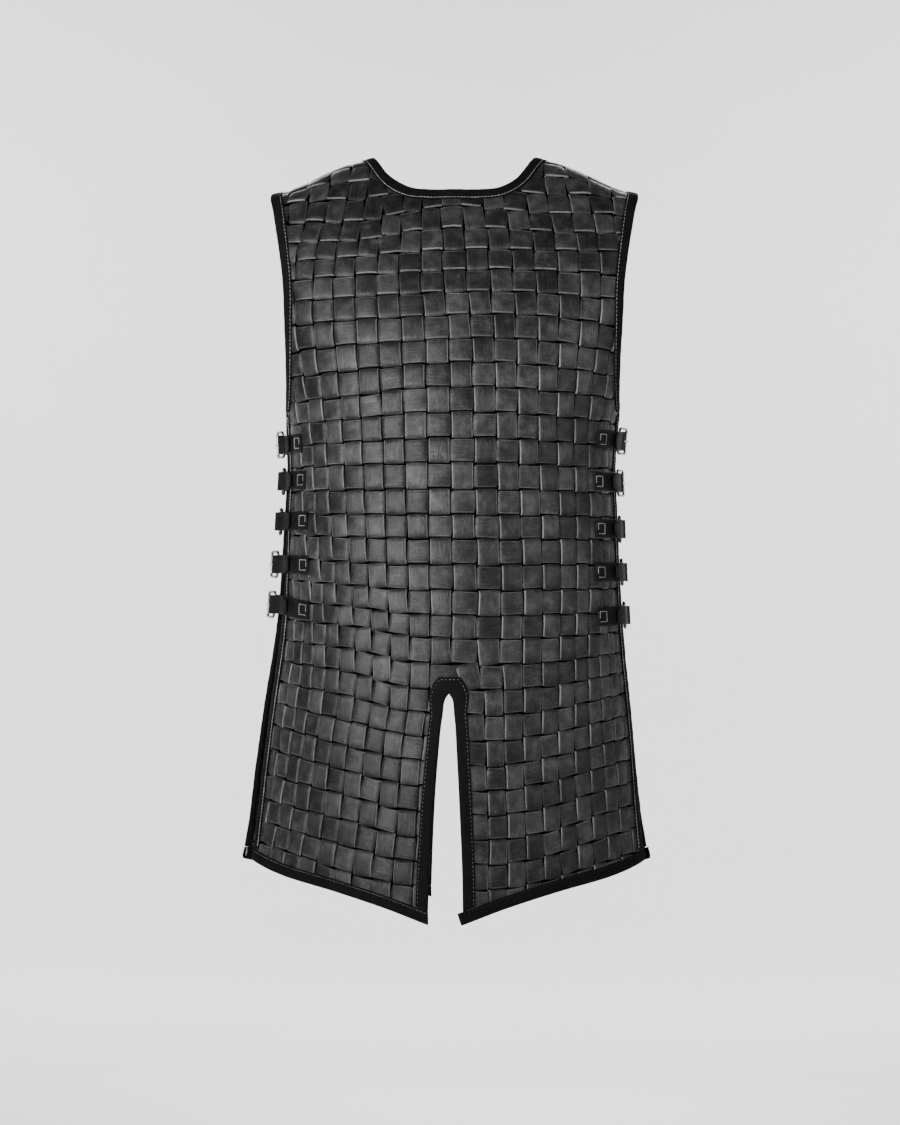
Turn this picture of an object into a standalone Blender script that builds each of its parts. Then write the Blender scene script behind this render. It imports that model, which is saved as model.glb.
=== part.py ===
"""Woven leather torso armour: two basket-woven panels joined at the shoulders and buckled at the sides.

Metres, +Z up, the front faces -Y and the wearer's left is +X.
The origin is the middle of the shoulder line, where the wearer's shoulders carry the armour.

Each panel is laid out as (across, drop): the arc distance from the centre line, and the distance
down the panel from the shoulder line. A form made of level sections turns that into a place in space.
"""
from math import cos, pi, radians, sin

import bmesh
import bpy
import numpy as np
from mathutils import Vector

# ---------------------------------------------------------------- driving dimensions

WALL = 0.0030               # woven wall: two layers of strip
BINDING = 0.0009            # thickness of the binding leather
BINDING_WIDTH = 0.012       # from the edge to the seam
BINDING_CLEAR = 0.0008      # between the binding and the wall inside it
SEAM_GAP = 0.0003           # between pieces sewn side by side
SHOULDER_SEAM = 0.0005      # each panel stops this far short of the shoulder line

STRAP = 0.0020              # strap thickness
STRAP_WIDTH = 0.021
SLOT_WIDTH = 0.0046         # slot and hole for the prong
WIRE = 0.0015               # radius of the buckle wire
PRONG = 0.0009              # radius of the prong wire
FRAME_HEIGHT = 0.029        # buckle frame along Z, between wire centres
FRAME_DEPTH = 0.022         # buckle frame along the strap, between wire centres
FRAME_STAND_OFF = 0.0050    # wire centre outside the panels' edges, at the heel bar

# Strap stations from the top down: level of the frame, how much further out its far bar stands than its
# heel bar, how far in on the front the strap starts, and how much lower than the frame it starts.
STATIONS = {
    "left": (
        (-0.301, 0.0085, 0.060, 0.000),
        (-0.349, 0.0070, 0.060, 0.000),
        (-0.402, 0.0000, 0.058, 0.000),
        (-0.451, 0.0000, 0.060, 0.000),
        (-0.500, 0.0000, 0.060, 0.001),
    ),
    "right": (
        (-0.305, 0.0080, 0.050, 0.000),
        (-0.347, 0.0000, 0.052, 0.000),
        (-0.393, 0.0000, 0.058, 0.000),
        (-0.442, 0.0085, 0.061, 0.001),
        (-0.488, 0.0085, 0.064, 0.006),
    ),
}

# The body form, as level sections from the shoulder line down.
# level, depth, half_width, squareness, shoulder_follow, sway
FORM_FRONT = (
    (0.000, 0.000, 0.300, 3.00, 1.00, 0.000),
    (-0.001, 0.010, 0.296, 2.95, 0.98, 0.000),
    (-0.005, 0.022, 0.290, 2.90, 0.90, 0.000),
    (-0.024, 0.052, 0.268, 2.60, 0.55, 0.000),
    (-0.068, 0.086, 0.244, 2.40, 0.22, 0.000),
    (-0.140, 0.119, 0.224, 2.25, 0.06, 0.000),
    (-0.220, 0.139, 0.201, 2.12, 0.00, -0.001),
    (-0.300, 0.148, 0.187, 2.00, 0.00, -0.002),
    (-0.400, 0.152, 0.190, 1.95, 0.00, -0.002),
    (-0.500, 0.154, 0.196, 1.93, 0.00, -0.002),
    (-0.600, 0.159, 0.208, 1.85, 0.00, -0.004),
    (-0.700, 0.166, 0.221, 1.72, 0.00, -0.006),
    (-0.800, 0.173, 0.239, 1.62, 0.00, -0.007),
    (-0.900, 0.178, 0.258, 1.57, 0.00, -0.008),
)
FORM_BACK = (
    (0.000, 0.000, 0.300, 3.00, 1.00, 0.000),
    (-0.001, 0.010, 0.296, 2.95, 0.98, 0.000),
    (-0.006, 0.022, 0.290, 2.90, 0.90, 0.000),
    (-0.026, 0.050, 0.268, 2.60, 0.55, 0.000),
    (-0.070, 0.081, 0.244, 2.40, 0.22, 0.000),
    (-0.140, 0.107, 0.224, 2.30, 0.06, 0.000),
    (-0.220, 0.122, 0.201, 2.20, 0.00, -0.002),
    (-0.300, 0.126, 0.187, 2.10, 0.00, -0.004),
    (-0.400, 0.122, 0.190, 2.05, 0.00, -0.005),
    (-0.500, 0.123, 0.197, 2.05, 0.00, -0.006),
    (-0.600, 0.134, 0.211, 1.98, 0.00, -0.009),
    (-0.700, 0.146, 0.224, 1.85, 0.00, -0.011),
    (-0.800, 0.156, 0.242, 1.75, 0.00, -0.011),
    (-0.900, 0.163, 0.262, 1.70, 0.00, -0.012),
)

# Height of the shoulder line: distance from the centre, rise above the origin.
SHOULDER_LINE = (
    (0.000, 0.0235),
    (0.094, 0.0225),
    (0.125, 0.0142),
    (0.150, 0.0040),
    (0.170, -0.0065),
    (0.188, -0.0142),
    (0.209, -0.0195),
    (0.260, -0.0260),
)

# Outlines of half a panel: across, drop.
NECK_FRONT = (
    (0.094, 0.0000), (0.088, 0.0200), (0.080, 0.0389), (0.069, 0.0548),
    (0.052, 0.0658), (0.030, 0.0690), (0.000, 0.0690),
)
NECK_BACK = (
    (0.094, 0.0000), (0.089, 0.0140), (0.081, 0.0280), (0.069, 0.0390),
    (0.052, 0.0475), (0.030, 0.0500), (0.000, 0.0500),
)
ARMHOLE = (
    (0.2090, 0.0000), (0.2085, 0.0305), (0.2040, 0.0830), (0.2003, 0.1345), (0.1989, 0.1855),
    (0.2036, 0.2259), (0.2117, 0.2661), (0.2251, 0.3042), (0.2385, 0.3250),
)
SIDE_FRONT = (
    (0.2385, 0.3250), (0.2382, 0.4061), (0.2388, 0.5059), (0.2426, 0.5859),
    (0.2520, 0.6559), (0.2597, 0.7263), (0.2630, 0.7969), (0.2650, 0.8350),
)
SIDE_BACK = (
    (0.2385, 0.3250), (0.2390, 0.4030), (0.2398, 0.5030), (0.2437, 0.5830),
    (0.2542, 0.6530), (0.2651, 0.7229), (0.2721, 0.7927), (0.2775, 0.8206),
)
HEM = ((0.0210, 0.8899), (0.0608, 0.8762), (0.1239, 0.8600), (0.2105, 0.8450), (0.2847, 0.8300))
SLIT = (
    (0.0000, 0.6370), (0.0042, 0.6420), (0.0080, 0.6640), (0.0124, 0.7148),
    (0.0164, 0.7745), (0.0195, 0.8342), (0.0210, 0.8899),
)

# Hem binding ends past the edges they cover: (at the slit, at the side, how much the end at the slit slants
# back for each metre up the panel).
HEM_TABS = {
    ("front", "left"): (0.0040, 0.0030, 0.00),
    ("front", "right"): (0.0020, 0.0020, 0.38),
    ("back", "left"): (0.0020, 0.0070, 0.38),
    ("back", "right"): (0.0020, 0.0020, 0.38),
}
HEM_SLOPE = 21.0            # degrees, at the slit

NECK_ROWS = (0.00, 0.09, 0.19, 0.30, 0.42, 0.55, 0.69, 0.84, 1.00)   # share of the neck's side, to its corner
NECK_COLUMNS = 3                                         # columns under the flat of the neck
BODY_DROPS = (0.080, 0.100, 0.122, 0.146, 0.170, 0.195, 0.220, 0.245, 0.270, 0.297, 0.325,
              0.358, 0.395, 0.435, 0.475, 0.515, 0.555, 0.600)
SKIRT_ROWS = (0.0, 0.022, 0.10, 0.22, 0.35, 0.48, 0.61, 0.74, 0.87, 1.0)
COLUMNS = 11
LAST_COLUMN = 0.74                                       # the last column is this much of the others
APEX_DROP = SLIT[0][1]


# ---------------------------------------------------------------- curves and the form

def through(knots, rows, at):
    """Values of a smooth curve through rows of numbers at given knots."""
    knots = np.asarray(knots, float)
    rows = np.asarray(rows, float)
    at = np.asarray(at, float)
    slopes = np.gradient(rows, knots, axis=0)
    first = np.clip(np.searchsorted(knots, at) - 1, 0, len(knots) - 2)
    span = knots[first + 1] - knots[first]
    r = ((at - knots[first]) / span)[..., None]
    span = span[..., None]
    return ((2 * r**3 - 3 * r**2 + 1) * rows[first] + (r**3 - 2 * r**2 + r) * span * slopes[first]
            + (3 * r**2 - 2 * r**3) * rows[first + 1] + (r**3 - r**2) * span * slopes[first + 1])


def chord_lengths(points):
    """Distance along a chain of points."""
    steps = np.hypot(*np.diff(np.asarray(points, float)[:, :2], axis=0).T)
    return np.concatenate([[0.0], np.cumsum(steps)])


class Form:
    """One half of the body form, front or back."""

    def __init__(self, rows, facing):
        self.rows = np.array(rows)
        self.facing = facing
        self.drops = chord_lengths(self.rows)

    def drop_at(self, level):
        return float(np.interp(-level, -self.rows[:, 0], self.drops))

    def point(self, across, drop):
        level, depth, half_width, squareness, follow, sway = through(self.drops, self.rows, np.array(drop))
        turn = np.linspace(0.0, pi / 2, 181)
        x = half_width * np.sin(turn) ** (2 / squareness)
        y = depth * np.cos(turn) ** (2 / squareness)
        along = chord_lengths(np.stack([x, y], 1))
        x_at = np.interp(abs(across), along, x)
        y_at = np.interp(abs(across), along, y)
        rise = np.interp(x_at, *zip(*SHOULDER_LINE))
        return Vector((np.copysign(x_at, across) + sway, self.facing * y_at, level + follow * rise))

    def normal(self, across, drop):
        step = 0.002
        down = self.point(across, drop + step) - self.point(across, max(drop - step, 0.0))
        sideways = self.point(across + step, drop) - self.point(across - step, drop)
        out = sideways.cross(down) * self.facing
        if drop < 2 * SHOULDER_SEAM:
            out.y = 0.0                                      # front and back meet in an upright seam
        return out.normalized()

    def place(self, across, drop, out=0.0):
        return self.point(across, drop) + self.normal(across, drop) * out


FRONT = Form(FORM_FRONT, -1)
BACK = Form(FORM_BACK, 1)


# ---------------------------------------------------------------- materials and objects

def material(name, colour, roughness, metallic=0.0):
    made = bpy.data.materials.new(name)
    made.use_nodes = True
    shader = made.node_tree.nodes["Principled BSDF"]
    shader.inputs["Base Color"].default_value = (*colour, 1.0)
    shader.inputs["Roughness"].default_value = roughness
    shader.inputs["Metallic"].default_value = metallic
    return made


def add_object(name, bm, finish, smooth=False):
    mesh = bpy.data.meshes.new(name)
    for face in bm.faces:
        face.smooth = smooth
    bm.to_mesh(mesh)
    bm.free()
    mesh.materials.append(finish)
    made = bpy.data.objects.new(name, mesh)
    bpy.context.scene.collection.objects.link(made)
    return made


def solidify(piece, thickness, offset=0.0):
    wall = piece.modifiers.new("wall", "SOLIDIFY")
    wall.thickness = thickness
    wall.offset = offset
    wall.use_even_offset = True


# ---------------------------------------------------------------- panel layout

class Layout:
    """The grid of one half panel: rows of (across, drop) from the centre or neck to the armhole or side."""

    def __init__(self, neck, side, under_neck=()):
        self.neck = np.array(neck)
        edge = np.array(ARMHOLE + side[1:])
        self.edge_drops = edge[:, 1]
        self.edge_across = edge[:, 0]
        share = np.arange(COLUMNS + 1) / (COLUMNS - 1 + LAST_COLUMN)
        share[-1] = 1.0
        self.share = share
        self.rows = []
        self._neck_rows()
        self.armhole_end = len(self.rows) + len(under_neck) + BODY_DROPS.index(ARMHOLE[-1][1])
        for drop in under_neck + BODY_DROPS:
            self.rows.append([(self.edge(drop) * s, drop) for s in share])
        self.apex = len(self.rows)
        self._skirt_rows()

    def edge(self, drop):
        return float(np.interp(drop, self.edge_drops, self.edge_across))

    def _neck_rows(self):
        """Rows beside the neck start at its curve; the last of them also runs along its bottom."""
        along = chord_lengths(self.neck)
        dense = through(along, self.neck, np.linspace(0.0, along[-1], 200))
        corner_across = self.edge(0.06) * self.share[NECK_COLUMNS]
        corner = int(np.argmin(abs(dense[:, 0] - corner_across)))
        beside = dense[: corner + 1]
        bottom = dense[corner:][::-1]
        for share in NECK_ROWS:
            drop = max(share * beside[-1, 1], SHOULDER_SEAM)
            across = float(np.interp(drop, beside[:, 1], beside[:, 0]))
            outer = self.edge(drop)
            spread = (self.share[NECK_COLUMNS:] - self.share[NECK_COLUMNS]) / (1 - self.share[NECK_COLUMNS])
            row = [None] * NECK_COLUMNS
            row += [(across + (outer - across) * s, drop) for s in spread]
            self.rows.append(row)
        for i in range(NECK_COLUMNS):
            across = corner_across * self.share[i] / self.share[NECK_COLUMNS]
            self.rows[-1][i] = (across, float(np.interp(across, bottom[:, 0], bottom[:, 1])))

    def _skirt_rows(self):
        """Rows of the skirt turn from level at the top of the slit to the slope of the hem."""
        slit_drops = [drop for _, drop in SLIT]
        slit_across = [across for across, _ in SLIT]
        for part in SKIRT_ROWS:
            row = []
            for s in self.share:
                drop = APEX_DROP
                for _ in range(4):
                    inner = float(np.interp(drop, slit_drops, slit_across))
                    across = inner + (self.edge(drop) - inner) * s
                    hem = float(np.interp(across, *zip(*HEM)))
                    drop = APEX_DROP + (hem - APEX_DROP) * part
                row.append((across, drop))
            self.rows.append(row)


FRONT_LAYOUT = Layout(NECK_FRONT, SIDE_FRONT)
BACK_LAYOUT = Layout(NECK_BACK, SIDE_BACK, under_neck=(0.064,))
NECK_BOTTOM = len(NECK_ROWS) - 1


def make_panel(name, form, layout, finish):
    """Both halves of a woven panel as one surface, given its wall by Solidify."""
    bm = bmesh.new()
    for side in (1, -1):
        grid = [[bm.verts.new(form.point(side * p[0], p[1])) if p else None for p in row]
                for row in layout.rows]
        for upper, lower in zip(grid, grid[1:]):
            for a, b, c, d in zip(upper, upper[1:], lower[1:], lower):
                if a and b:
                    corners = (a, b, c, d) if side * form.facing < 0 else (a, d, c, b)
                    bm.faces.new(corners)
    bmesh.ops.remove_doubles(bm, verts=bm.verts, dist=0.00005)
    bmesh.ops.recalc_face_normals(bm, faces=bm.faces)
    panel = add_object(name, bm, finish, smooth=True)
    solidify(panel, WALL)
    return panel


# ---------------------------------------------------------------- bindings

def make_binding(name, form, run, inward, finish, slants=(0.0, 0.0)):
    """A leather strip folded over the panel's edge.

    run is the edge as (across, drop) points; inward tells which way the panel lies from it.
    slants cut the two ends back, by that much for each metre in from the edge.
    """
    run = np.array(run, float)
    tangent = np.gradient(run, axis=0)
    tangent /= np.linalg.norm(tangent, axis=1)[:, None]
    aside = np.stack([-tangent[:, 1], tangent[:, 0]], 1)
    if np.dot(aside[len(run) // 2], inward) < 0:
        aside = -aside
    aside[0] += tangent[0] * slants[0]
    aside[-1] -= tangent[-1] * slants[1]
    near = WALL / 2 + BINDING_CLEAR
    far = near + BINDING
    profile = ((BINDING_WIDTH, far), (-BINDING_CLEAR - BINDING, far), (-BINDING_CLEAR - BINDING, -far),
               (BINDING_WIDTH, -far), (BINDING_WIDTH, -near), (-BINDING_CLEAR, -near), (-BINDING_CLEAR, near),
               (BINDING_WIDTH, near))
    bm = bmesh.new()
    rings = []
    for edge_at, way in zip(run, aside):
        if edge_at[1] <= SHOULDER_SEAM:
            way = np.array([np.sign(way[0]), 0.0])           # the end runs along the shoulder seam
        inner_at = edge_at + way * BINDING_WIDTH
        edge = form.point(*edge_at)
        step = (form.point(*inner_at) - edge) / BINDING_WIDTH
        normals = (form.normal(*edge_at), form.normal(*inner_at))
        rings.append([bm.verts.new(edge + step * reach + normals[reach > 0] * out) for reach, out in profile])
    for ring, following in zip(rings, rings[1:]):
        for k in range(len(ring)):
            bm.faces.new((ring[k - 1], ring[k], following[k], following[k - 1]))
    for ring in (rings[0], rings[-1]):
        for k in range(3):
            bm.faces.new((ring[k], ring[k + 1], ring[6 - k], ring[7 - k]))
    bmesh.ops.recalc_face_normals(bm, faces=bm.faces)
    return add_object(name, bm, finish)


def shift_end(run, end, distance):
    """The same run with one end moved along itself: outwards for a positive distance."""
    run = [np.array(p, float) for p in run]
    tip, behind = (run[0], run[1]) if end == 0 else (run[-1], run[-2])
    way = (tip - behind) / np.linalg.norm(tip - behind)
    run[end] = tip + way * distance
    return run


def edge_runs(layout, side):
    """The edges of one half panel, as (across, drop) runs on the given side."""
    rows = layout.rows
    neck = [row[NECK_COLUMNS] for row in rows[: NECK_BOTTOM + 1]]
    neck += [rows[NECK_BOTTOM][i] for i in range(NECK_COLUMNS - 1, -1, -1)]
    runs = {
        "neck": neck,
        "armhole": [row[-1] for row in rows[: layout.armhole_end + 1]],
        "side": [row[-1] for row in rows[layout.armhole_end :]],
        "hem": rows[-1],
        "slit": [row[0] for row in rows[layout.apex :]],
    }
    return {edge: [(side * across, drop) for across, drop in points] for edge, points in runs.items()}


def make_bindings(where, form, layout, finish):
    """All the bindings of one panel. The hem's go on last, over the ends of the others."""
    halves = {"left": edge_runs(layout, 1), "right": edge_runs(layout, -1)}
    neck = halves["left"]["neck"] + halves["right"]["neck"][-2::-1]
    make_binding(f"neck_binding_{where}", form, neck, (0, 1), finish)
    slit = halves["left"]["slit"][::-1] + halves["right"]["slit"][1:]
    for end in (0, -1):
        slit = shift_end(slit, end, -BINDING_WIDTH / cos(radians(HEM_SLOPE)) - BINDING)
    level_with_hem = np.tan(radians(HEM_SLOPE + 1))
    make_binding(f"slit_binding_{where}", form, slit, (0, -1), finish, (level_with_hem, level_with_hem))
    for side, runs in halves.items():
        towards_centre = (-1 if side == "left" else 1, 0)
        armhole = shift_end(runs["armhole"], -1, -SEAM_GAP)
        make_binding(f"armhole_binding_{where}_{side}", form, armhole, towards_centre, finish, (0.0, 0.62))
        side_edge = shift_end(shift_end(runs["side"], 0, -SEAM_GAP), -1, -BINDING_WIDTH - BINDING - SEAM_GAP)
        make_binding(f"side_binding_{where}_{side}", form, side_edge, towards_centre, finish)
        slit_tab, side_tab, slant = HEM_TABS[where, side]
        hem = shift_end(shift_end(runs["hem"], 0, slit_tab), -1, side_tab)
        make_binding(f"hem_binding_{where}_{side}", form, hem, (0, -1), finish, (slant, 0.0))


# ---------------------------------------------------------------- straps and buckles

class Station:
    """One strap station. Points are (place, up): up leans with the panel, so the strap lies flat on it."""

    def __init__(self, side, level, tilt, start, lean):
        self.side = side
        self.level = level
        self.tilt = tilt
        self.start = start
        self.lean = lean
        front_edge, front_up = self.on(FRONT, FRONT_LAYOUT, 0.0)
        back_edge, back_up = self.on(BACK, BACK_LAYOUT, 0.0)
        self.up = (front_up + back_up).normalized()
        self.outward = side * max(side * front_edge.x, side * back_edge.x) + side * FRAME_STAND_OFF
        self.middle = (front_edge.y + back_edge.y) / 2

    def on(self, form, layout, inset, out=0.0):
        """A point on a panel, that far in from its side edge."""
        lean = self.lean * inset / self.start if form is FRONT else 0.0
        drop = form.drop_at(self.level - lean)
        across = self.side * (layout.edge(drop) - inset)
        up = form.place(across, drop - 0.01, out) - form.place(across, drop + 0.01, out)
        return form.place(across, drop, out), up.normalized()

    def by(self, bar, outward, back=0.0):
        """A point beside a bar of the frame: -1 is the heel bar, 1 is the far bar."""
        x = self.outward + self.side * (outward + self.tilt * (bar + 1) / 2)
        return Vector((x, self.middle + bar * FRAME_DEPTH / 2 + back, self.level)), self.up

    def round_bar(self, bar, radius, start, end, count):
        """Points on an arc round a bar; 0 degrees is outward and 90 degrees is towards the back."""
        turns = [radians(start + (end - start) * i / (count - 1)) for i in range(count)]
        return [self.by(bar, radius * cos(turn), radius * sin(turn)) for turn in turns]


def smooth_path(knots, count):
    """A smooth path of count points through (place, up) knots."""
    rows = np.array([(*place, *up) for place, up in knots])
    along = np.concatenate([[0.0], np.cumsum(np.linalg.norm(np.diff(rows[:, :3], axis=0), axis=1))])
    return [(Vector(row[:3]), Vector(row[3:]).normalized())
            for row in through(along, rows, np.linspace(0.0, along[-1], count))]


def ribbon(name, path, finish, gap, end_width=1.0):
    """A strap along a path, with a gap in its middle lane for the prong."""
    half = STRAP_WIDTH / 2
    lanes = (-half, -SLOT_WIDTH / 2, SLOT_WIDTH / 2, half)
    bm = bmesh.new()
    grid = []
    for place, up in path:
        narrow = end_width if place is path[-1][0] else 1.0
        grid.append([bm.verts.new(place + up * z * narrow) for z in lanes])
    for k, (row, following) in enumerate(zip(grid, grid[1:])):
        for lane in range(3):
            if lane != 1 or k not in gap:
                bm.faces.new((row[lane], row[lane + 1], following[lane + 1], following[lane]))
    made = add_object(name, bm, finish)
    solidify(made, STRAP)
    return made


def wire(name, points, radius, closed, finish, tip=1.0):
    """A bent wire of round section."""
    curve = bpy.data.curves.new(name, "CURVE")
    curve.dimensions = "3D"
    curve.bevel_depth = radius
    curve.bevel_resolution = 1
    curve.use_fill_caps = True
    spline = curve.splines.new("POLY")
    spline.points.add(len(points) - 1)
    for point, place in zip(spline.points, points):
        point.co = (*place, 1.0)
    spline.points[-1].radius = tip
    spline.use_cyclic_u = closed
    curve.materials.append(finish)
    made = bpy.data.objects.new(name, curve)
    bpy.context.scene.collection.objects.link(made)
    return made


def make_station(label, station, leather, metal):
    lie = WALL / 2 + SEAM_GAP + STRAP / 2 + 0.0005                         # on the panel
    over = WALL / 2 + BINDING_CLEAR + BINDING + SEAM_GAP + STRAP / 2 + 0.0008   # over the binding
    fold = WIRE + SEAM_GAP + STRAP / 2                                     # round the heel bar
    heel, far = -1, 1

    # The strap is sewn to the front panel and folds round the heel bar.
    path = smooth_path([station.on(FRONT, FRONT_LAYOUT, inset, out) for inset, out in
                        ((station.start, lie), (0.043, lie), (0.029, lie), (0.0155, over), (0.003, over))], 6)
    path += station.round_bar(heel, fold, -52, 188, 7)
    ribbon(f"strap_{label}", path, leather, gap=range(5, 12))

    # The billet comes from the back panel, under the far bar and over the heel bar, to lie on the strap.
    rise = fold + STRAP + SEAM_GAP + 0.0002
    path = smooth_path([station.on(BACK, BACK_LAYOUT, inset, out) for inset, out in
                        ((0.065, lie), (0.047, lie), (0.032, lie), (0.0185, over), (0.004, over),
                         (-0.0022, over))], 7)
    path += [station.by(far, -fold, 0.0002), station.by(far, -fold, -0.0045),
             station.by(heel, rise - 0.0010, 0.0060)]
    path += station.round_bar(heel, rise, 5, -48, 3)
    path += [station.on(FRONT, FRONT_LAYOUT, inset, over + STRAP + SEAM_GAP + 0.0003)
             for inset in (0.006, 0.018, 0.025)]
    ribbon(f"billet_{label}", path, leather, gap=range(7, 10), end_width=0.62)

    # The frame is a rounded oblong of wire; the prong is ringed on the heel bar and rests on the far bar.
    corner = 0.0030
    loop = []
    for bar, high, start in ((heel, -1, 180), (far, -1, 270), (far, 1, 0), (heel, 1, 90)):
        for turn in (radians(start), radians(start + 45), radians(start + 90)):
            back = corner * (cos(turn) - bar)
            place, up = station.by(bar, station.tilt * back / FRAME_DEPTH, back)
            loop.append(place + up * (high * (FRAME_HEIGHT / 2 - corner) + corner * sin(turn)))
    wire(f"buckle_{label}", loop, WIRE, True, metal)
    ring = WIRE + SEAM_GAP + PRONG
    pin = station.round_bar(heel, ring, -190, 0, 6)
    pin += [station.by(far, ring - station.tilt / 2, -FRAME_DEPTH / 2), station.by(far, ring)]
    pin += [station.by(far, ring - 0.0002, 0.0028)]
    wire(f"prong_{label}", [place for place, _ in pin], PRONG, False, metal, tip=0.7)


# ---------------------------------------------------------------- build

def main():
    for thing in list(bpy.context.scene.objects):
        bpy.data.objects.remove(thing, do_unlink=True)
    woven = material("woven_leather", (0.035, 0.035, 0.036), 0.45)
    suede = material("binding_leather", (0.012, 0.012, 0.012), 0.85)
    strap = material("strap_leather", (0.022, 0.021, 0.020), 0.55)
    steel = material("buckle_steel", (0.55, 0.55, 0.56), 0.28, 1.0)

    make_panel("front_panel", FRONT, FRONT_LAYOUT, woven)
    make_panel("back_panel", BACK, BACK_LAYOUT, woven)
    make_bindings("front", FRONT, FRONT_LAYOUT, suede)
    make_bindings("back", BACK, BACK_LAYOUT, suede)
    for side, sign in (("left", 1), ("right", -1)):
        for number, station in enumerate(STATIONS[side], 1):
            make_station(f"{side}_{number}", Station(sign, *station), strap, steel)


main()
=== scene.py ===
"""Looks of the woven leather torso armour.

Two panels are woven from flat leather strips, upright ones and level ones, bound at their edges with
folded leather sewn down in pale thread, and joined at the sides by straps, billets and wire buckles.

A place on a panel is given as (across, drop): the distance along the leather from the centre line,
and the distance down the leather from the shoulder line. The wearer's left is +X.
"""
from collections import namedtuple
from math import cos, pi, radians, sin, tan

import bmesh
import bpy
import numpy as np
from mathutils import Matrix, Vector
from mathutils.kdtree import KDTree


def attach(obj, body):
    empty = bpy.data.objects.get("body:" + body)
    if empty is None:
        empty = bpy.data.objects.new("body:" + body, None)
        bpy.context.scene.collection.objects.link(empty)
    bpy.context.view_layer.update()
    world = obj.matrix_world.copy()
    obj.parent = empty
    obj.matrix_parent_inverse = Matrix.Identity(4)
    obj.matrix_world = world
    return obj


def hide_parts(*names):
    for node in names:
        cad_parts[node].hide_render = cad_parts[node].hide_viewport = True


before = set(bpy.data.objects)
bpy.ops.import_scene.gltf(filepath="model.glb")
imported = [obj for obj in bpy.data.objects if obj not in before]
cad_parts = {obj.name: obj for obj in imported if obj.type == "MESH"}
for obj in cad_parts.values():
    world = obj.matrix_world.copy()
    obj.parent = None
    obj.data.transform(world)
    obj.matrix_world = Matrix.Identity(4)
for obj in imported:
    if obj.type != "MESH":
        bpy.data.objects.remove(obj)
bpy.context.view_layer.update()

# ---------------------------------------------------------------- sizes, in metres

WALL = 0.0030               # the woven wall, as the solid model has it
BINDING = 0.0009            # thickness of the binding leather
BINDING_WIDTH = 0.012
BINDING_CLEAR = 0.0008      # between the wall and the binding
BINDING_STEP = 0.0028       # from cut to cut along a binding
RIPPLE = 0.00022            # how far a binding's faces waver in and out
RIPPLE_RATE = 0.45          # how many times a cut they may turn
STITCH_SINK = 0.00055       # how deep the stitches pull a binding in
WIDE_STANDS_OUT = 0.0007    # how much further out the faces of a binding twice as wide stand,
WIDE_SEAM_OUT = 0.0009      # and its stitches
SLANT_CUTS = 4              # a slanted end straightens over this many cuts
LEVEL_WITHIN = 0.012        # this near the shoulder line a binding's cuts turn level
ARMHOLE_SLANT = 0.62        # how much the foot of an armhole's binding leans back
# How many times as wide as the others a binding is: (drop, times)
EVEN_WIDTH = ((0.0, 1.0),)
SLIT_BINDING_WIDTHS = ((0.637, 1.60), (0.642, 1.45), (0.655, 1.10), (0.664, 1.00))
RIGHT_SKIRT_BINDING_WIDTHS = ((0.520, 1.00), (0.545, 1.55), (0.640, 1.45), (0.780, 1.10), (0.830, 1.00))
SEAM_GAP = 0.0003
SHOULDER_SEAM = 0.0005       # the panels start this far below the shoulder line

STRIP = 0.0020              # thickness of a woven strip
UPRIGHT_WIDTH = 0.0246      # widest an upright strip gets, and its share of the column
UPRIGHT_SHARE = 0.886
LEVEL_WIDTH = 0.0244        # the same for a level strip
LEVEL_SHARE = 0.871
RISE = 0.00155              # how far a strip's middle rises and falls from the middle of the wall
RISE_BOUND = 0.00100        # the same under the bindings,
BOUND_REACH = 0.009         # which is to this far from the panel's edge,
BOUND_FADE = 0.012          # and the full rise comes this much further in
PLAIN_WAVE = 0.15           # how much of the rise and fall is a plain wave; the rest is flat on each square
WAVE_STEEPNESS = 4.2        # how steeply that rest dives between squares
CROWN = 0.00070             # how much lower a strip's edges lie than its middle
HIDDEN_HALF = 0.51          # half-width of a strip under the others, in pitches
SPREADS_BELOW = 0.20        # it starts to spread out to that where its rise is less than this,
SPREADS_OVER = 0.40         # and has done so where it is this much less again
FLANGE_DROP = 0.0008        # how much lower the part lies that only shows in the gaps,
FLANGE_SHADE = 1.4          # how much further down the finishes take it to be,
FLANGE_FADE = 0.04          # and how soon it comes to that, in pitches
EDGE_ROUND = 0.00045
STRIP_INSET = 0.0022        # strips end this far inside the panel's edge
NEEDED_SHARE = 0.40         # a strip is needed where the panel reaches this far beside its middle, in pitches
RINGS = 8                   # cuts across a strip for each crossing
RINGS_TO_BENDS = 0.09       # how much they are drawn to the bends
LANES_TO_RIMS = 0.6         # how the lanes along a strip are drawn to its rims, as a power
BESIDE = 0.04               # how far ahead and behind a strip's way is read, in crossings
FEWEST_RINGS = 3            # a strip is longer than this
JUST_HALF = 0.4999          # beside the centre line both edges of an upright are taken from its own half
SAME_PLACE = 0.00003
HAIR_SIDE, CUT_EDGE, FLESH_SIDE = 0, 1, 2    # the finishes of a strip, in order
# Handwork: how far a strip's width, place and tilt wander
CUT_WANDER, ASIDE_WANDER, TILT_WANDER = 0.00025, 0.00040, 0.00016
# Each strip carries a number for the finishes: its row, or its column and this much more for an upright
UPRIGHT_NUMBERS = 60.0
UPRIGHTS_ABOVE = 40.5
RIM_HIGHLIGHT_LEVELS = (-0.20, -0.10)     # between these the painted rim highlight goes over from uprights to level strips

THREAD = 0.00036            # radius
SEW_LINE = 0.0100           # from the panel's edge
STITCH_LEAN = 0.09          # how much a stitch lies across its line
BOX_HEIGHT = 0.0115         # of the sewn rectangles on the straps
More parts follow.
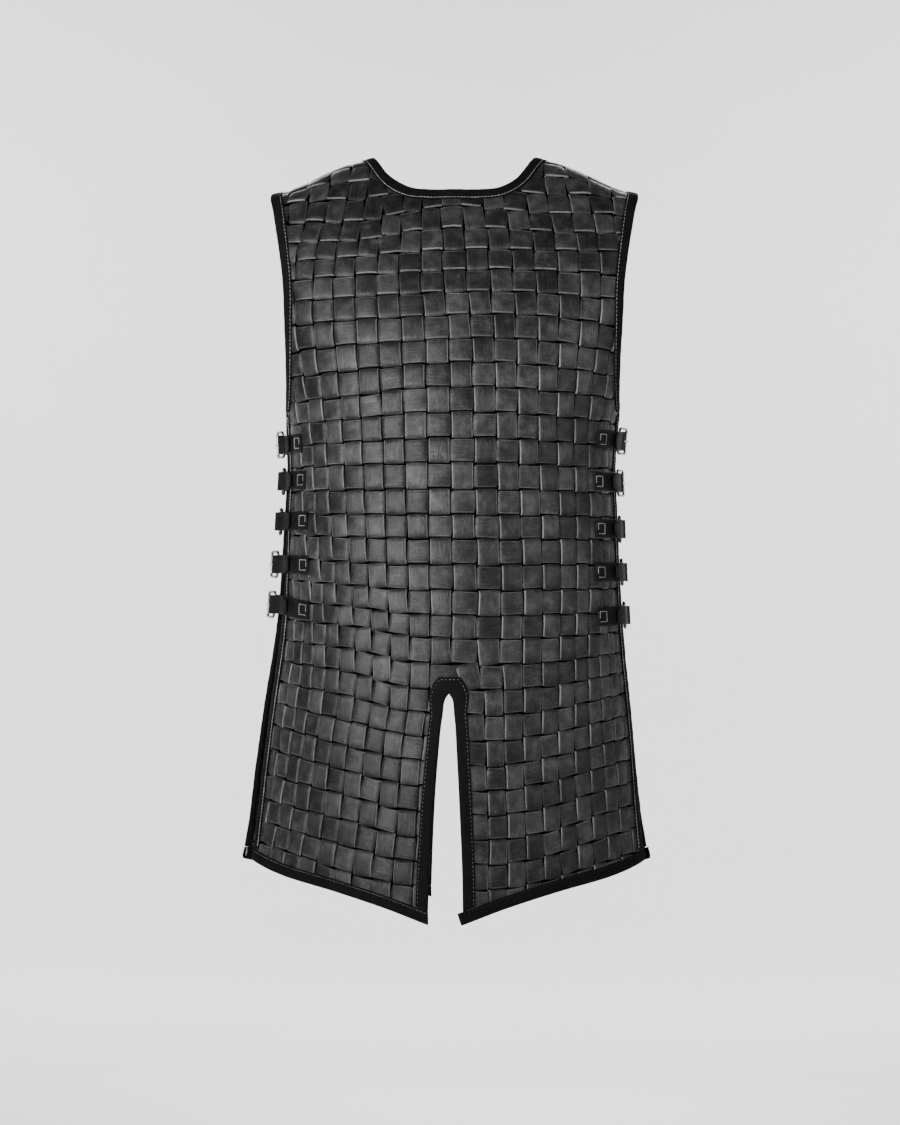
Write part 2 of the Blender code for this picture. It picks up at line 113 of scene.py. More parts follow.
# How each edge is sewn: thread, pitch, length and radius of a stitch
SEWING = {
    "neck": ("clean_thread", 0.0038, 0.0037, 0.00042),
    "side": ("clean_thread", 0.0040, 0.0039, 0.00054),
    "armhole": ("clean_thread", 0.0046, 0.0036, 0.00033),
    "slit": ("worn_thread", 0.0045, 0.0024, 0.00034),
    "hem_left": ("black_thread", 0.0045, 0.0026, 0.00032),
    "hem_right": ("worn_thread", 0.0042, 0.0036, 0.00034),
    "strap": ("clean_thread", 0.0026, 0.0025, 0.00054),
}

STRAP = 0.0020
STRAP_WIDTH = 0.021
STRAP_ROWS = 64             # points along a strap
SLOT_WIDTH = 0.0046
WIRE = 0.0015               # radius
PRONG = 0.0009              # radius
FRAME_HEIGHT = 0.029
FRAME_DEPTH = 0.022
FRAME_CORNER = 0.0036       # radius
FRAME_STAND_OFF = 0.0050
# Strap stations from the top down: level of the frame, how much further out its far bar stands than its
# heel bar, how far in on the front the strap starts, and how much lower than the frame it starts
STATIONS = {
    "left": (
        (-0.301, 0.0085, 0.060, 0.000),
        (-0.349, 0.0070, 0.060, 0.000),
        (-0.402, 0.0000, 0.058, 0.000),
        (-0.451, 0.0000, 0.060, 0.000),
        (-0.500, 0.0000, 0.060, 0.001),
    ),
    "right": (
        (-0.305, 0.0080, 0.050, 0.000),
        (-0.347, 0.0000, 0.052, 0.000),
        (-0.393, 0.0000, 0.058, 0.000),
        (-0.442, 0.0085, 0.061, 0.001),
        (-0.488, 0.0085, 0.064, 0.006),
    ),
}

FORM_ACROSS = 0.33          # the body form is worked out this far across
LOWEST_DROP = 0.95          # and this far down
SEAM_TURN = 0.003           # the way out of the leather turns upright this near the shoulder seam
# The body form: level, depth, half_width, squareness, shoulder_follow, sway
FORM_FRONT = (
    (0.000, 0.000, 0.300, 3.00, 1.00, 0.000),
    (-0.001, 0.010, 0.296, 2.95, 0.98, 0.000),
    (-0.005, 0.022, 0.290, 2.90, 0.90, 0.000),
    (-0.024, 0.052, 0.268, 2.60, 0.55, 0.000),
    (-0.068, 0.086, 0.244, 2.40, 0.22, 0.000),
    (-0.140, 0.119, 0.224, 2.25, 0.06, 0.000),
    (-0.220, 0.139, 0.201, 2.12, 0.00, -0.001),
    (-0.300, 0.148, 0.187, 2.00, 0.00, -0.002),
    (-0.400, 0.152, 0.190, 1.95, 0.00, -0.002),
    (-0.500, 0.154, 0.196, 1.93, 0.00, -0.002),
    (-0.600, 0.159, 0.208, 1.85, 0.00, -0.004),
    (-0.700, 0.166, 0.221, 1.72, 0.00, -0.006),
    (-0.800, 0.173, 0.239, 1.62, 0.00, -0.007),
    (-0.900, 0.178, 0.258, 1.57, 0.00, -0.008),
)
FORM_BACK = (
    (0.000, 0.000, 0.300, 3.00, 1.00, 0.000),
    (-0.001, 0.010, 0.296, 2.95, 0.98, 0.000),
    (-0.006, 0.022, 0.290, 2.90, 0.90, 0.000),
    (-0.026, 0.050, 0.268, 2.60, 0.55, 0.000),
    (-0.070, 0.081, 0.244, 2.40, 0.22, 0.000),
    (-0.140, 0.107, 0.224, 2.30, 0.06, 0.000),
    (-0.220, 0.122, 0.201, 2.20, 0.00, -0.002),
    (-0.300, 0.126, 0.187, 2.10, 0.00, -0.004),
    (-0.400, 0.122, 0.190, 2.05, 0.00, -0.005),
    (-0.500, 0.123, 0.197, 2.05, 0.00, -0.006),
    (-0.600, 0.134, 0.211, 1.98, 0.00, -0.009),
    (-0.700, 0.146, 0.224, 1.85, 0.00, -0.011),
    (-0.800, 0.156, 0.242, 1.75, 0.00, -0.011),
    (-0.900, 0.163, 0.262, 1.70, 0.00, -0.012),
)
# The shoulder line: distance from the centre, rise above the origin
SHOULDER_LINE = (
    (0.000, 0.0235), (0.094, 0.0225), (0.125, 0.0142), (0.150, 0.0040),
    (0.170, -0.0065), (0.188, -0.0142), (0.209, -0.0195), (0.260, -0.0260),
)
# Outlines of half a panel: across, drop
NECK_FRONT = (
    (0.094, 0.0000), (0.088, 0.0200), (0.080, 0.0389), (0.069, 0.0548),
    (0.052, 0.0658), (0.030, 0.0690), (0.000, 0.0690),
)
NECK_BACK = (
    (0.094, 0.0000), (0.089, 0.0140), (0.081, 0.0280), (0.069, 0.0390),
    (0.052, 0.0475), (0.030, 0.0500), (0.000, 0.0500),
)
ARMHOLE = (
    (0.2090, 0.0000), (0.2085, 0.0305), (0.2040, 0.0830), (0.2003, 0.1345), (0.1989, 0.1855),
    (0.2036, 0.2259), (0.2117, 0.2661), (0.2251, 0.3042), (0.2385, 0.3250),
)
SIDE_FRONT = (
    (0.2385, 0.3250), (0.2382, 0.4061), (0.2388, 0.5059), (0.2426, 0.5859),
    (0.2520, 0.6559), (0.2597, 0.7263), (0.2630, 0.7969), (0.2650, 0.8350),
)
SIDE_BACK = (
    (0.2385, 0.3250), (0.2390, 0.4030), (0.2398, 0.5030), (0.2437, 0.5830),
    (0.2542, 0.6530), (0.2651, 0.7229), (0.2721, 0.7927), (0.2775, 0.8206),
)
HEM = ((0.0210, 0.8899), (0.0608, 0.8762), (0.1239, 0.8600), (0.2105, 0.8450), (0.2847, 0.8300))
SLIT = (
    (0.0000, 0.6370), (0.0042, 0.6420), (0.0080, 0.6640), (0.0124, 0.7148),
    (0.0164, 0.7745), (0.0195, 0.8342), (0.0210, 0.8899),
)
# Hem binding ends past the edges they cover: (at the slit, at the side, how much the end at the slit slants
# back for each metre up the panel)
HEM_TABS = {
    ("front", "left"): (0.0040, 0.0030, 0.00),
    ("front", "right"): (0.0020, 0.0020, 0.38),
    ("back", "left"): (0.0020, 0.0070, 0.38),
    ("back", "right"): (0.0020, 0.0020, 0.38),
}
HEM_SLOPE = 21.0            # degrees, at the slit

# Columns of the weave. Line k stands at start + pitch * k - ease * k * k, outwards from the centre.
# drop, left_start, left_pitch, left_ease, right_start, right_pitch, right_ease
COLUMNS = (
    (0.055, -0.0140, 0.0217, -0.00030, 0.0140, 0.0192, -0.00033),
    (0.100, -0.0140, 0.0246, 0.00000, 0.0140, 0.0220, 0.00000),
    (0.127, -0.0120, 0.0251, 0.00000, 0.0120, 0.0234, 0.00000),
    (0.180, -0.0110, 0.0260, 0.00005, 0.0110, 0.0248, 0.00000),
    (0.227, -0.0050, 0.0250, 0.00000, 0.0050, 0.0260, 0.00000),
    (0.315, -0.0010, 0.0255, 0.00020, 0.0010, 0.0261, 0.00011),
    (0.450, 0.0010, 0.0267, 0.00031, -0.0010, 0.0251, 0.00016),
    (0.530, 0.0020, 0.0281, 0.00059, -0.0020, 0.0253, 0.00041),
    (0.595, 0.0020, 0.0282, 0.00067, -0.0020, 0.0237, 0.00032),
    (0.645, 0.0150, 0.0235, 0.00023, 0.0010, 0.0217, 0.00008),
    (0.695, 0.0195, 0.0217, 0.00002, 0.0055, 0.0223, 0.00009),
    (0.745, 0.0228, 0.0213, -0.00004, 0.0090, 0.0221, -0.00001),
    (0.795, 0.0255, 0.0213, -0.00004, 0.0100, 0.0228, -0.00004),
    (0.840, 0.0255, 0.0216, -0.00003, 0.0120, 0.0239, -0.00003),
    (0.900, 0.0270, 0.0215, -0.00001, 0.0140, 0.0240, -0.00001),
)
# Row lines on the centre line, from row 0 down. Above and below they keep ROW_PITCH.
ROWS = (0.088, 0.117, 0.144, 0.169, 0.195, 0.221, 0.248, 0.275, 0.302, 0.330, 0.359, 0.386,
        0.415, 0.443, 0.469, 0.498, 0.526, 0.554, 0.579, 0.607)
ROW_PITCH = 0.027
FIRST_ROW, LAST_ROW = -6, 31
FIRST_COLUMN, LAST_COLUMN = -13, 13
SAG_KNOTS = (0.0, 0.05, 0.10, 0.19, 0.30)
# How much lower than on the centre line a row lies at 50, 100 and 190 mm across, in millimetres:
# drop on the centre line, right_50, right_100, right_190, left_50, left_100, left_190
ROW_SAG = (
    (7, 8, 18, -12, 5, 11, -25),
    (34, 8, 18, -8, 5, 11, -20),
    (61, 8, 17, 0, 5, 12, -12),
    (88, 8, 18, 8, 5, 9, -4),
    (117, 4, 13, 9, 0, 3, -5),
    (144, 3, 7, 6, -1, 0, -6),
    (195, 2, 4, 5, -1, 0, 3),
    (248, 3, 5, 10, -1, 1, 10),
    (302, 2, 8, 12, 0, 3, 8),
    (359, 1, 3, 5, 0, 2, 5),
    (443, 0, 0, -1, 1, 1, 2),
    (526, 0, -4, -9, 1, 0, 0),
    (579, -3, -11, -17, 1, 0, -3),
    (634, -2, -14, -24, 2, 0, -10),
    (715, -4, -13, -29, 5, -1, -15),
    (796, -1, -12, -26, 4, 0, -18),
    (877, -2, -8, -30, 5, -1, -18),
)

# Camera and stage
CAMERA_DISTANCE = 3.3
CAMERA_LEVEL = -0.44
CAMERA_AZIMUTH = 1.0        # degrees
CAMERA_ASIDE = -0.0052
LENS = 91.8
FLOOR = -1.55
# name, place, aim, size, power, spread in degrees
LIGHTS = (
    ("key", (-1.45, -2.1, -0.10), (0.04, 0.0, -0.24), 0.9, 3.6, 42),
    ("right_side", (2.1, -1.3, -0.16), (0.0, 0.0, -0.24), 0.9, 1.3, 60),
    ("low_front", (-0.5, -2.1, -1.40), (0.0, 0.0, -0.12), 0.8, 3.4, 110),
    ("behind", (0.15, 2.85, -0.25), (0.0, 0.0, -0.45), 1.4, 21.0, 180),
    ("backdrop_left", (-3.0, 3.4, 1.4), (-0.8, 6.5, -0.2), 2.0, 240.0, 180),
    ("backdrop_right", (3.0, 3.4, 1.4), (0.8, 6.5, -0.2), 2.0, 240.0, 180),
    ("floor", (0.0, 2.6, 1.2), (0.0, 3.2, FLOOR), 2.0, 90.0, 180),
)


# ---------------------------------------------------------------- curves and the form

def through(knots, rows, at):
    """Values of a smooth curve through rows of numbers at given knots."""
    knots = np.asarray(knots, float)
    rows = np.asarray(rows, float)
    at = np.asarray(at, float)
    slopes = np.gradient(rows, knots, axis=0)
    first = np.clip(np.searchsorted(knots, at) - 1, 0, len(knots) - 2)
    span = knots[first + 1] - knots[first]
    r = ((at - knots[first]) / span)[..., None]
    span = span[..., None]
    return ((2 * r**3 - 3 * r**2 + 1) * rows[first] + (r**3 - 2 * r**2 + r) * span * slopes[first]
            + (3 * r**2 - 2 * r**3) * rows[first + 1] + (r**3 - r**2) * span * slopes[first + 1])


def chord_lengths(points):
    """Distance along a chain of points."""
    steps = np.linalg.norm(np.diff(np.asarray(points, float), axis=0), axis=1)
    return np.concatenate([[0.0], np.cumsum(steps)])


def resample(points, spacing):
    """The same chain of points, smooth and evenly spaced."""
    along = chord_lengths(points)
    count = max(2, int(round(along[-1] / spacing)) + 1)
    return through(along, points, np.linspace(0.0, along[-1], count))


def shifted(run, ends):
    """The same run with its ends moved along itself: outwards for a positive distance."""
    run = np.array(run, float)
    for first, behind, distance in ((0, 1, ends[0]), (-1, -2, ends[1])):
        if distance < 0:
            along = chord_lengths(run)
            cut = -distance if first == 0 else along[-1] + distance
            tip = np.array([[np.interp(cut, along, run[:, n]) for n in (0, 1)]])
            chain = [tip, run[along >= cut]] if first == 0 else [run[along <= cut], tip]
            run = np.concatenate(chain)
        elif distance > 0:
            way = run[first] - run[behind]
            run[first] += way / np.linalg.norm(way) * distance
    return run


def unit(ways):
    """Rows of numbers brought to length 1."""
    return ways / np.linalg.norm(ways, axis=-1, keepdims=True)


def quarter_turn(ways):
    """Ways on the flat leather, turned through a quarter."""
    return np.stack([-ways[:, 1], ways[:, 0]], 1)


def look_up(table, i, j):
    """Values between the rows and columns of a table."""
    i = np.clip(i, 0, table.shape[0] - 1.001)
    j = np.clip(j, 0, table.shape[1] - 1.001)
    i0, j0 = i.astype(int), j.astype(int)
    fi, fj = (i - i0)[..., None], (j - j0)[..., None]
    return ((table[i0, j0] * (1 - fj) + table[i0, j0 + 1] * fj) * (1 - fi)
            + (table[i0 + 1, j0] * (1 - fj) + table[i0 + 1, j0 + 1] * fj) * fi)


class Form:
    """One half of the body form, front or back, which turns (across, drop) into a place in space."""

    DROP_STEP = 0.001
    ACROSS_STEP = 0.002

    def __init__(self, rows, facing):
        rows = np.array(rows)
        self.facing = facing
        self.levels = rows[:, 0]
        self.drops = chord_lengths(rows[:, :2])
        at = np.arange(0.0, LOWEST_DROP, self.DROP_STEP)
        level, depth, half_width, squareness, follow, self.sway = through(self.drops, rows, at).T
        turn = np.linspace(0.0, pi / 2, 181)
        across = np.arange(0.0, FORM_ACROSS, self.ACROSS_STEP)
        self.table = np.zeros((len(at), len(across), 3))
        for n in range(len(at)):
            x = half_width[n] * np.sin(turn) ** (2 / squareness[n])
            y = depth[n] * np.cos(turn) ** (2 / squareness[n])
            along = chord_lengths(np.stack([x, y], 1))
            self.table[n, :, 0] = np.interp(across, along, x)
            self.table[n, :, 1] = np.interp(across, along, y)
            self.table[n, :, 2] = level[n] + follow[n] * np.interp(self.table[n, :, 0], *zip(*SHOULDER_LINE))

    def point(self, across, drop):
        """The place on the middle of the wall."""
        across, drop = np.broadcast_arrays(np.asarray(across, float), np.asarray(drop, float))
        row = drop / self.DROP_STEP
        place = look_up(self.table, row, abs(across) / self.ACROSS_STEP)
        sway = np.interp(row, np.arange(len(self.sway)), self.sway)
        return np.stack([np.copysign(place[..., 0], across) + sway,
                         self.facing * place[..., 1], place[..., 2]], -1)

    def normal(self, across, drop, step=0.002):
        """The way out of the leather. At the shoulder seam it is upright, so that the two halves meet."""
        across, drop = np.broadcast_arrays(np.asarray(across, float), np.asarray(drop, float))
        down = self.point(across, drop + step) - self.point(across, np.maximum(drop - step, 0.0))
        sideways = self.point(across + step, drop) - self.point(across - step, drop)
        out = np.cross(sideways, down) * self.facing
        out[..., 1] *= np.clip((drop - SHOULDER_SEAM) / SEAM_TURN, 0.0, 1.0)
        return unit(out)

    def place(self, across, drop, out=0.0):
        """The place that far out from the middle of the wall."""
        return self.point(across, drop) + self.normal(across, drop) * np.asarray(out)[..., None]

    def drop_at(self, level):
        return float(np.interp(-level, -self.levels, self.drops))


# ---------------------------------------------------------------- panels and their weave

class Panel:
    """A front or back panel: its form, its outline and the lines of its weave."""

    def __init__(self, where, form, neck, side):
        self.where = where
        self.form = form
        neck_along = chord_lengths(neck)
        self.neck = through(neck_along, neck, np.linspace(0, neck_along[-1], 60))
        self.neck[:, 1] = np.maximum(self.neck[:, 1], SHOULDER_SEAM)
        edge = np.array(ARMHOLE + side[1:])
        self.edge_drops = np.linspace(0.0, edge[-1, 1], 300)
        self.edge_across = through(edge[:, 1], edge[:, :1], self.edge_drops)[:, 0]
        self.side_end = HEM[-1][1]                  # where the side meets the hem
        for _ in range(6):
            self.side_end = np.interp(self.edge(self.side_end), *zip(*HEM))

    def edge(self, drop):
        """How far across the armhole and side edge stands."""
        return np.interp(drop, self.edge_drops, self.edge_across)

    def runs(self, side):
        """The edges of one half, as (across, drop) points on the given side."""
        armhole_end = ARMHOLE[-1][1]
        down = np.linspace(SHOULDER_SEAM, armhole_end, 60)
        lower = np.linspace(armhole_end, self.side_end, 80)
        out = np.linspace(SLIT[-1][0], self.edge(self.side_end), 60)
        hem = np.array(HEM)
        runs = {
            "neck": self.neck,
            "armhole": np.stack([self.edge(down), down], 1),
            "side": np.stack([self.edge(lower), lower], 1),
            "hem": np.stack([out, through(hem[:, 0], hem[:, 1:], out)[:, 0]], 1),
            "slit": resample(SLIT, 0.004),
        }
        return {name: run * (side, 1) for name, run in runs.items()}

    def outline(self, inset):
        """The whole panel's edge as a closed chain, drawn in by inset."""
        halves = []
        for side in (1, -1):
            runs = self.runs(side)
            halves.append(np.concatenate([runs["neck"][::-1], runs["armhole"], runs["side"][1:],
                                          runs["hem"][::-1][1:], runs["slit"][::-1][1:]]))
        chain = np.concatenate([halves[0], halves[1][::-1][1:-1]])
        return chain + quarter_turn(unit(np.roll(chain, -1, 0) - np.roll(chain, 1, 0))) * inset


class Weave:
    """The lines of the weave: column k and row q, counted from the centre line and from the chest."""

    STEP = 0.005
    HALF_WIDTH = 0.30

    def __init__(self):
        columns = np.array(COLUMNS)
        self.drops = np.arange(0.0, LOWEST_DROP, self.STEP)
        self.columns = through(columns[:, 0], columns[:, 1:],
                               np.clip(self.drops, columns[0, 0], columns[-1, 0]))
        above = [ROWS[0] + ROW_PITCH * n for n in range(FIRST_ROW, 0)]
        below = [ROWS[-1] + ROW_PITCH * n for n in range(1, LAST_ROW - len(ROWS) + 2)]
        self.row_lines = np.array(above + list(ROWS) + below)

        sag = np.array(ROW_SAG, float) / 1000
        across = np.arange(-self.HALF_WIDTH, self.HALF_WIDTH + self.STEP / 50, self.STEP)
        rows = []
        for _, *values in sag:
            sides = []
            for near, mid, far in (values[:3], values[3:]):
                beyond = far + (far - mid) * 0.7
                drawn = through(SAG_KNOTS, [[0.0], [near], [mid], [far], [beyond]], np.abs(across))
                sides.append(drawn[:, 0])
            rows.append(np.where(across < 0, *sides))
        self.sag = through(sag[:, 0], np.array(rows), np.clip(self.drops, sag[0, 0], sag[-1, 0]))[..., None]

    def column(self, k, drop):
        """Where line k stands at a drop. Above the slit both halves share line 0."""
        start_l, pitch_l, ease_l, start_r, pitch_r, ease_r = [
            np.interp(drop, self.drops, self.columns[:, n]) for n in range(6)]
        n = np.abs(k)
        left = start_l + pitch_l * n - ease_l * n * n
        right = -(start_r + pitch_r * n - ease_r * n * n)
        above = 1 - np.clip((drop - SLIT[0][1] + 0.010) / 0.014, 0.0, 1.0)
        return np.where(k >= 0, left, right + (start_l + start_r) * np.clip(1 - n, 0.0, 1.0) * above)

    def row(self, q, across):
        """How low line q lies at a distance across."""
        centre = np.interp(q, np.arange(FIRST_ROW, FIRST_ROW + len(self.row_lines)), self.row_lines)
        return centre + look_up(self.sag, centre / self.STEP, (across + self.HALF_WIDTH) / self.STEP)[..., 0]

    def crossing(self, k, q):
        """(across, drop) of the crossing of line k with line q."""
        k, q = np.broadcast_arrays(np.asarray(k, float), np.asarray(q, float))
        drop = self.row(q, np.zeros_like(q))
        for _ in range(6):
            across = self.column(k, drop)
            drop = self.row(q, across)
        return np.stack([across, drop], -1)


def inside(points, chain):
    """Which points lie inside a closed chain."""
    x, y = points[:, 0][:, None], points[:, 1][:, None]
    x0, y0 = chain.T
    x1, y1 = np.roll(chain, -1, 0).T
    crosses = (y0 > y) != (y1 > y)
    at = x0 + (y - y0) * (x1 - x0) / np.where(y1 == y0, 1e-12, y1 - y0)
    return (crosses & (x < at)).sum(1) % 2 == 1


def nearest(points, chain):
    """The nearest place on a closed chain to each point."""
    start = chain[None]
    way = (np.roll(chain, -1, 0) - chain)[None]
    part = ((points[:, None] - start) * way).sum(-1) / np.maximum((way**2).sum(-1), 1e-12)
    on = start + way * np.clip(part, 0.0, 1.0)[..., None]
    best = ((points[:, None] - on) ** 2).sum(-1).argmin(1)
    return on[np.arange(len(points)), best]


FRONT = Panel("front", Form(FORM_FRONT, -1), NECK_FRONT, SIDE_FRONT)
BACK = Panel("back", Form(FORM_BACK, 1), NECK_BACK, SIDE_BACK)
WEAVE = Weave()


# ---------------------------------------------------------------- finishes

class Finish:
    """A material and the nodes that make it."""

    def __init__(self, name, roughness=0.5, metallic=0.0, specular=0.5):
        self.material = bpy.data.materials.new(name)
        self.material.use_nodes = True
        self.tree = self.material.node_tree
        self.shader = self.tree.nodes["Principled BSDF"]
        values = {"Roughness": roughness, "Metallic": metallic, "Specular IOR Level": specular}
        for key, value in values.items():
            self.shader.inputs[key].default_value = value

    def node(self, kind, inputs, **settings):
        made = self.tree.nodes.new("ShaderNode" + kind)
        for key, value in settings.items():
            setattr(made, key, value)
        for key, value in inputs.items():
            self.feed(made.inputs[key], value)
        return made

    def feed(self, socket, value):
        if isinstance(value, bpy.types.NodeSocket):
            self.tree.links.new(value, socket)
        else:
            socket.default_value = value

    def place(self):
        return self.node("TexCoord", {}).outputs["Object"]

    def lay(self):
        """(sideways, along, number): how a point lies on its strip or binding."""
        return self.node("Attribute", {}, attribute_name="lay").outputs["Vector"]

    def rise(self):
        """How far a strip is up (1) or under the others (-1)."""
        return self.node("Attribute", {}, attribute_name="rise").outputs["Fac"]

    def parts(self, vector):
        return self.node("SeparateXYZ", {0: vector}).outputs

    def vector(self, x, y, z):
        return self.node("CombineXYZ", {0: x, 1: y, 2: z}).outputs[0]

    def stretched(self, vector, sizes):
        return self.node("VectorMath", {0: vector, 1: sizes}, operation="MULTIPLY").outputs[0]

    def noise(self, vector, scale, detail=4.0, roughness=0.55):
        inputs = {"Vector": vector, "Scale": scale, "Detail": detail, "Roughness": roughness}
        return self.node("TexNoise", inputs).outputs["Fac"]

    def maths(self, operation, a, b=0.0):
        return self.node("Math", {0: a, 1: b}, operation=operation).outputs[0]

    def product(self, first, *others):
        for other in others:
            first = self.maths("MULTIPLY", first, other)
        return first

    def total(self, *weighted):
        """The sum of (value, weight) pairs."""
        first, *others = [self.product(value, weight) for value, weight in weighted]
        for other in others:
            first = self.maths("ADD", first, other)
        return first

    def between(self, value, low, high, to_low=0.0, to_high=1.0):
        inputs = {0: value, 1: low, 2: high, 3: to_low, 4: to_high}
        return self.node("MapRange", inputs, interpolation_type="SMOOTHSTEP").outputs[0]

    def mix(self, factor, a, b):
        return self.node("Mix", {0: factor, 6: a, 7: b}, data_type="RGBA").outputs[2]

    def bump(self, height, distance, strength, under=None):
        inputs = {"Height": height, "Distance": distance, "Strength": strength}
        if under is not None:
            inputs["Normal"] = under
        return self.node("Bump", inputs).outputs[0]

    def colour(self, value):
        self.feed(self.shader.inputs["Base Color"], value)

    def roughen(self, value):
        self.feed(self.shader.inputs["Roughness"], value)

    def gloss(self, value):
        self.feed(self.shader.inputs["Specular IOR Level"], value)

    def relief(self, value):
        self.feed(self.shader.inputs["Normal"], value)


def grey(level, warmth=0.0):
    return (level * (1 + warmth), level, level * (1 - warmth), 1.0)


def make_strip_leather():
    """Satin black leather: streaks along the strip, a tone for each square, painted rim highlights, painted
    shade in the hollows.
    """
    finish = Finish("strip_leather")
    lay = finish.lay()
    sideways, along, number = finish.parts(lay)[:3]
    height = finish.parts(finish.place())[2]
    streaks = finish.noise(finish.stretched(lay, (5.0, 0.9, 7.3)), 1.6, 6.0, 0.62)
    fine = finish.noise(finish.stretched(lay, (26.0, 2.2, 3.1)), 1.5, 3.0, 0.6)
    cloud = finish.noise(finish.place(), 70.0)
    speckle = finish.noise(finish.place(), 520.0, 4.0, 0.75)
    nicks = finish.noise(finish.place(), 900.0, 4.0, 0.8)
    one_square = finish.vector(finish.maths("FLOOR", along), number, 0.0)
    square = finish.node("TexWhiteNoise", {"Vector": one_square}, noise_dimensions="3D").outputs["Value"]

    tone = finish.total((square, 0.40), (streaks, 1.1), (cloud, 0.8), (speckle, 1.0))
    colour = finish.mix(finish.between(tone, 1.20, 2.20), grey(0.004), grey(0.062, 0.01))
    scuff = finish.total((nicks, 1.5), (cloud, 1.0), (square, 0.20))
    colour = finish.mix(finish.between(scuff, 1.36, 1.70), colour, grey(0.11))

    # Painted highlight on the rims: pale on uprights from the chest down, and on level strips round the
    # shoulders.
    on_upright = finish.maths("GREATER_THAN", number, UPRIGHTS_ABOVE)
    on_level = finish.maths("LESS_THAN", number, UPRIGHTS_ABOVE)
    wear_and_highlight = finish.total((on_upright, finish.between(height, *RIM_HIGHLIGHT_LEVELS, 1.0, 0.25)),
                        (on_level, finish.between(height, *RIM_HIGHLIGHT_LEVELS, 0.45, 1.10)))
    rim_highlight = finish.product(
        finish.between(finish.maths("ABSOLUTE", sideways), 0.86, 0.97),
        finish.between(fine, 0.35, 0.65, 0.25, 1.0), finish.between(square, 0.0, 1.0, 0.55, 1.0), wear_and_highlight)
    # Painted highlight: the rims are coloured pale grey.
    colour = finish.mix(rim_highlight, colour, grey(0.42))

    # Painted shade: where the strip goes under the others its colour falls to near black and its gloss fades.
    up = finish.between(finish.rise(), -0.46, 0.22)
    finish.colour(finish.mix(up, grey(0.0012), colour))
    finish.gloss(finish.product(up, 0.5))
    finish.roughen(finish.between(finish.total((streaks, 0.7), (speckle, 0.7)), 0.50, 0.90, 0.48, 0.27))
    grain = finish.bump(speckle, 0.0004, 0.45)
    finish.relief(finish.bump(finish.total((streaks, 1.0), (fine, 0.4)), 0.0010, 0.5, grain))
    return finish.material


def make_cut_edge():
    """The strips' cut edges, undyed grey fibre."""
    finish = Finish("cut_edge", roughness=0.75, specular=0.3)
    fibre = finish.noise(finish.stretched(finish.lay(), (3.0, 14.0, 2.7)), 2.0)
    raw = finish.mix(finish.between(fibre, 0.30, 0.70), grey(0.22), grey(0.60))
    # Painted shade: where the strip goes under the others its cut edge turns near black and loses its gloss.
    up = finish.between(finish.rise(), -0.45, 0.25)
    finish.colour(finish.mix(up, grey(0.003), raw))
    finish.gloss(finish.product(up, 0.3))
    finish.relief(finish.bump(fibre, 0.0006, 0.5))
    return finish.material


def make_flesh_side():
    """The strips' inner face, brushed suede."""
    finish = Finish("flesh_side", roughness=0.9, specular=0.2)
    nap = finish.noise(finish.place(), 420.0, 4.0, 0.65)
    patch = finish.noise(finish.place(), 30.0, 3.0)
    shade = finish.between(finish.total((nap, 0.6), (patch, 0.5)), 0.3, 0.8)
    finish.colour(finish.mix(shade, grey(0.020, 0.06), grey(0.065, 0.08)))
    finish.relief(finish.bump(nap, 0.0006, 0.6))
    return finish.material


def make_binding_leather():
    """Very dark matte split leather of the bindings."""
    finish = Finish("binding_leather", specular=0.16)
    nap = finish.noise(finish.place(), 520.0, 5.0, 0.7)
    patch = finish.noise(finish.place(), 85.0, 4.0, 0.6)
    shade = finish.between(finish.total((nap, 0.7), (patch, 0.6)), 0.40, 0.95)
    finish.colour(finish.mix(shade, grey(0.003), grey(0.016)))
    finish.roughen(finish.between(patch, 0.3, 0.7, 0.70, 0.90))
    finish.relief(finish.bump(nap, 0.0005, 0.6, finish.bump(patch, 0.0016, 0.35)))
    return finish.material


def make_strap_leather():
    """Brownish black bridle leather."""
    finish = Finish("strap_leather", specular=0.25)
    grain = finish.noise(finish.place(), 300.0, 4.0, 0.6)
    patch = finish.noise(finish.place(), 60.0, 3.0)
    shade = finish.between(finish.total((grain, 0.5), (patch, 0.7)), 0.35, 0.85)
    finish.colour(finish.mix(shade, grey(0.0030, 0.10), grey(0.018, 0.14)))
    finish.roughen(finish.between(grain, 0.3, 0.7, 0.50, 0.70))
    finish.relief(finish.bump(grain, 0.0005, 0.45))
    return finish.material


def make_thread(name, dark, pale):
    """Waxed linen thread, from new to blackened."""
    finish = Finish(name, roughness=0.6, specular=0.3)
    twist = finish.noise(finish.place(), 900.0, 2.0)
    soiled = finish.noise(finish.place(), 60.0, 3.0)
    shade = finish.product(finish.between(twist, 0.3, 0.7, 0.5, 1.0),
                           finish.between(soiled, 0.35, 0.6, 0.45, 1.0))
    finish.colour(finish.mix(shade, grey(dark), grey(pale)))
    finish.relief(finish.bump(twist, 0.0003, 0.6))
    return finish.material


def make_nickelled_steel():
    """Bright plated wire, dulled in patches."""
    finish = Finish("nickelled_steel", metallic=1.0)
    wear_and_highlight = finish.noise(finish.place(), 240.0)
    finish.colour(finish.mix(finish.between(wear_and_highlight, 0.35, 0.7), grey(0.20, 0.02), grey(0.46, 0.02)))
    finish.roughen(finish.between(wear_and_highlight, 0.3, 0.75, 0.18, 0.36))
    finish.relief(finish.bump(wear_and_highlight, 0.0002, 0.2))
    return finish.material


def make_backdrop_paper():
    """Plain pale paper for the stage."""
    finish = Finish("backdrop_paper", roughness=0.9, specular=0.1)
    finish.colour(finish.mix(finish.noise(finish.place(), 1.3, 2.0), grey(0.80), grey(0.84)))
    return finish.material


# ---------------------------------------------------------------- making pieces

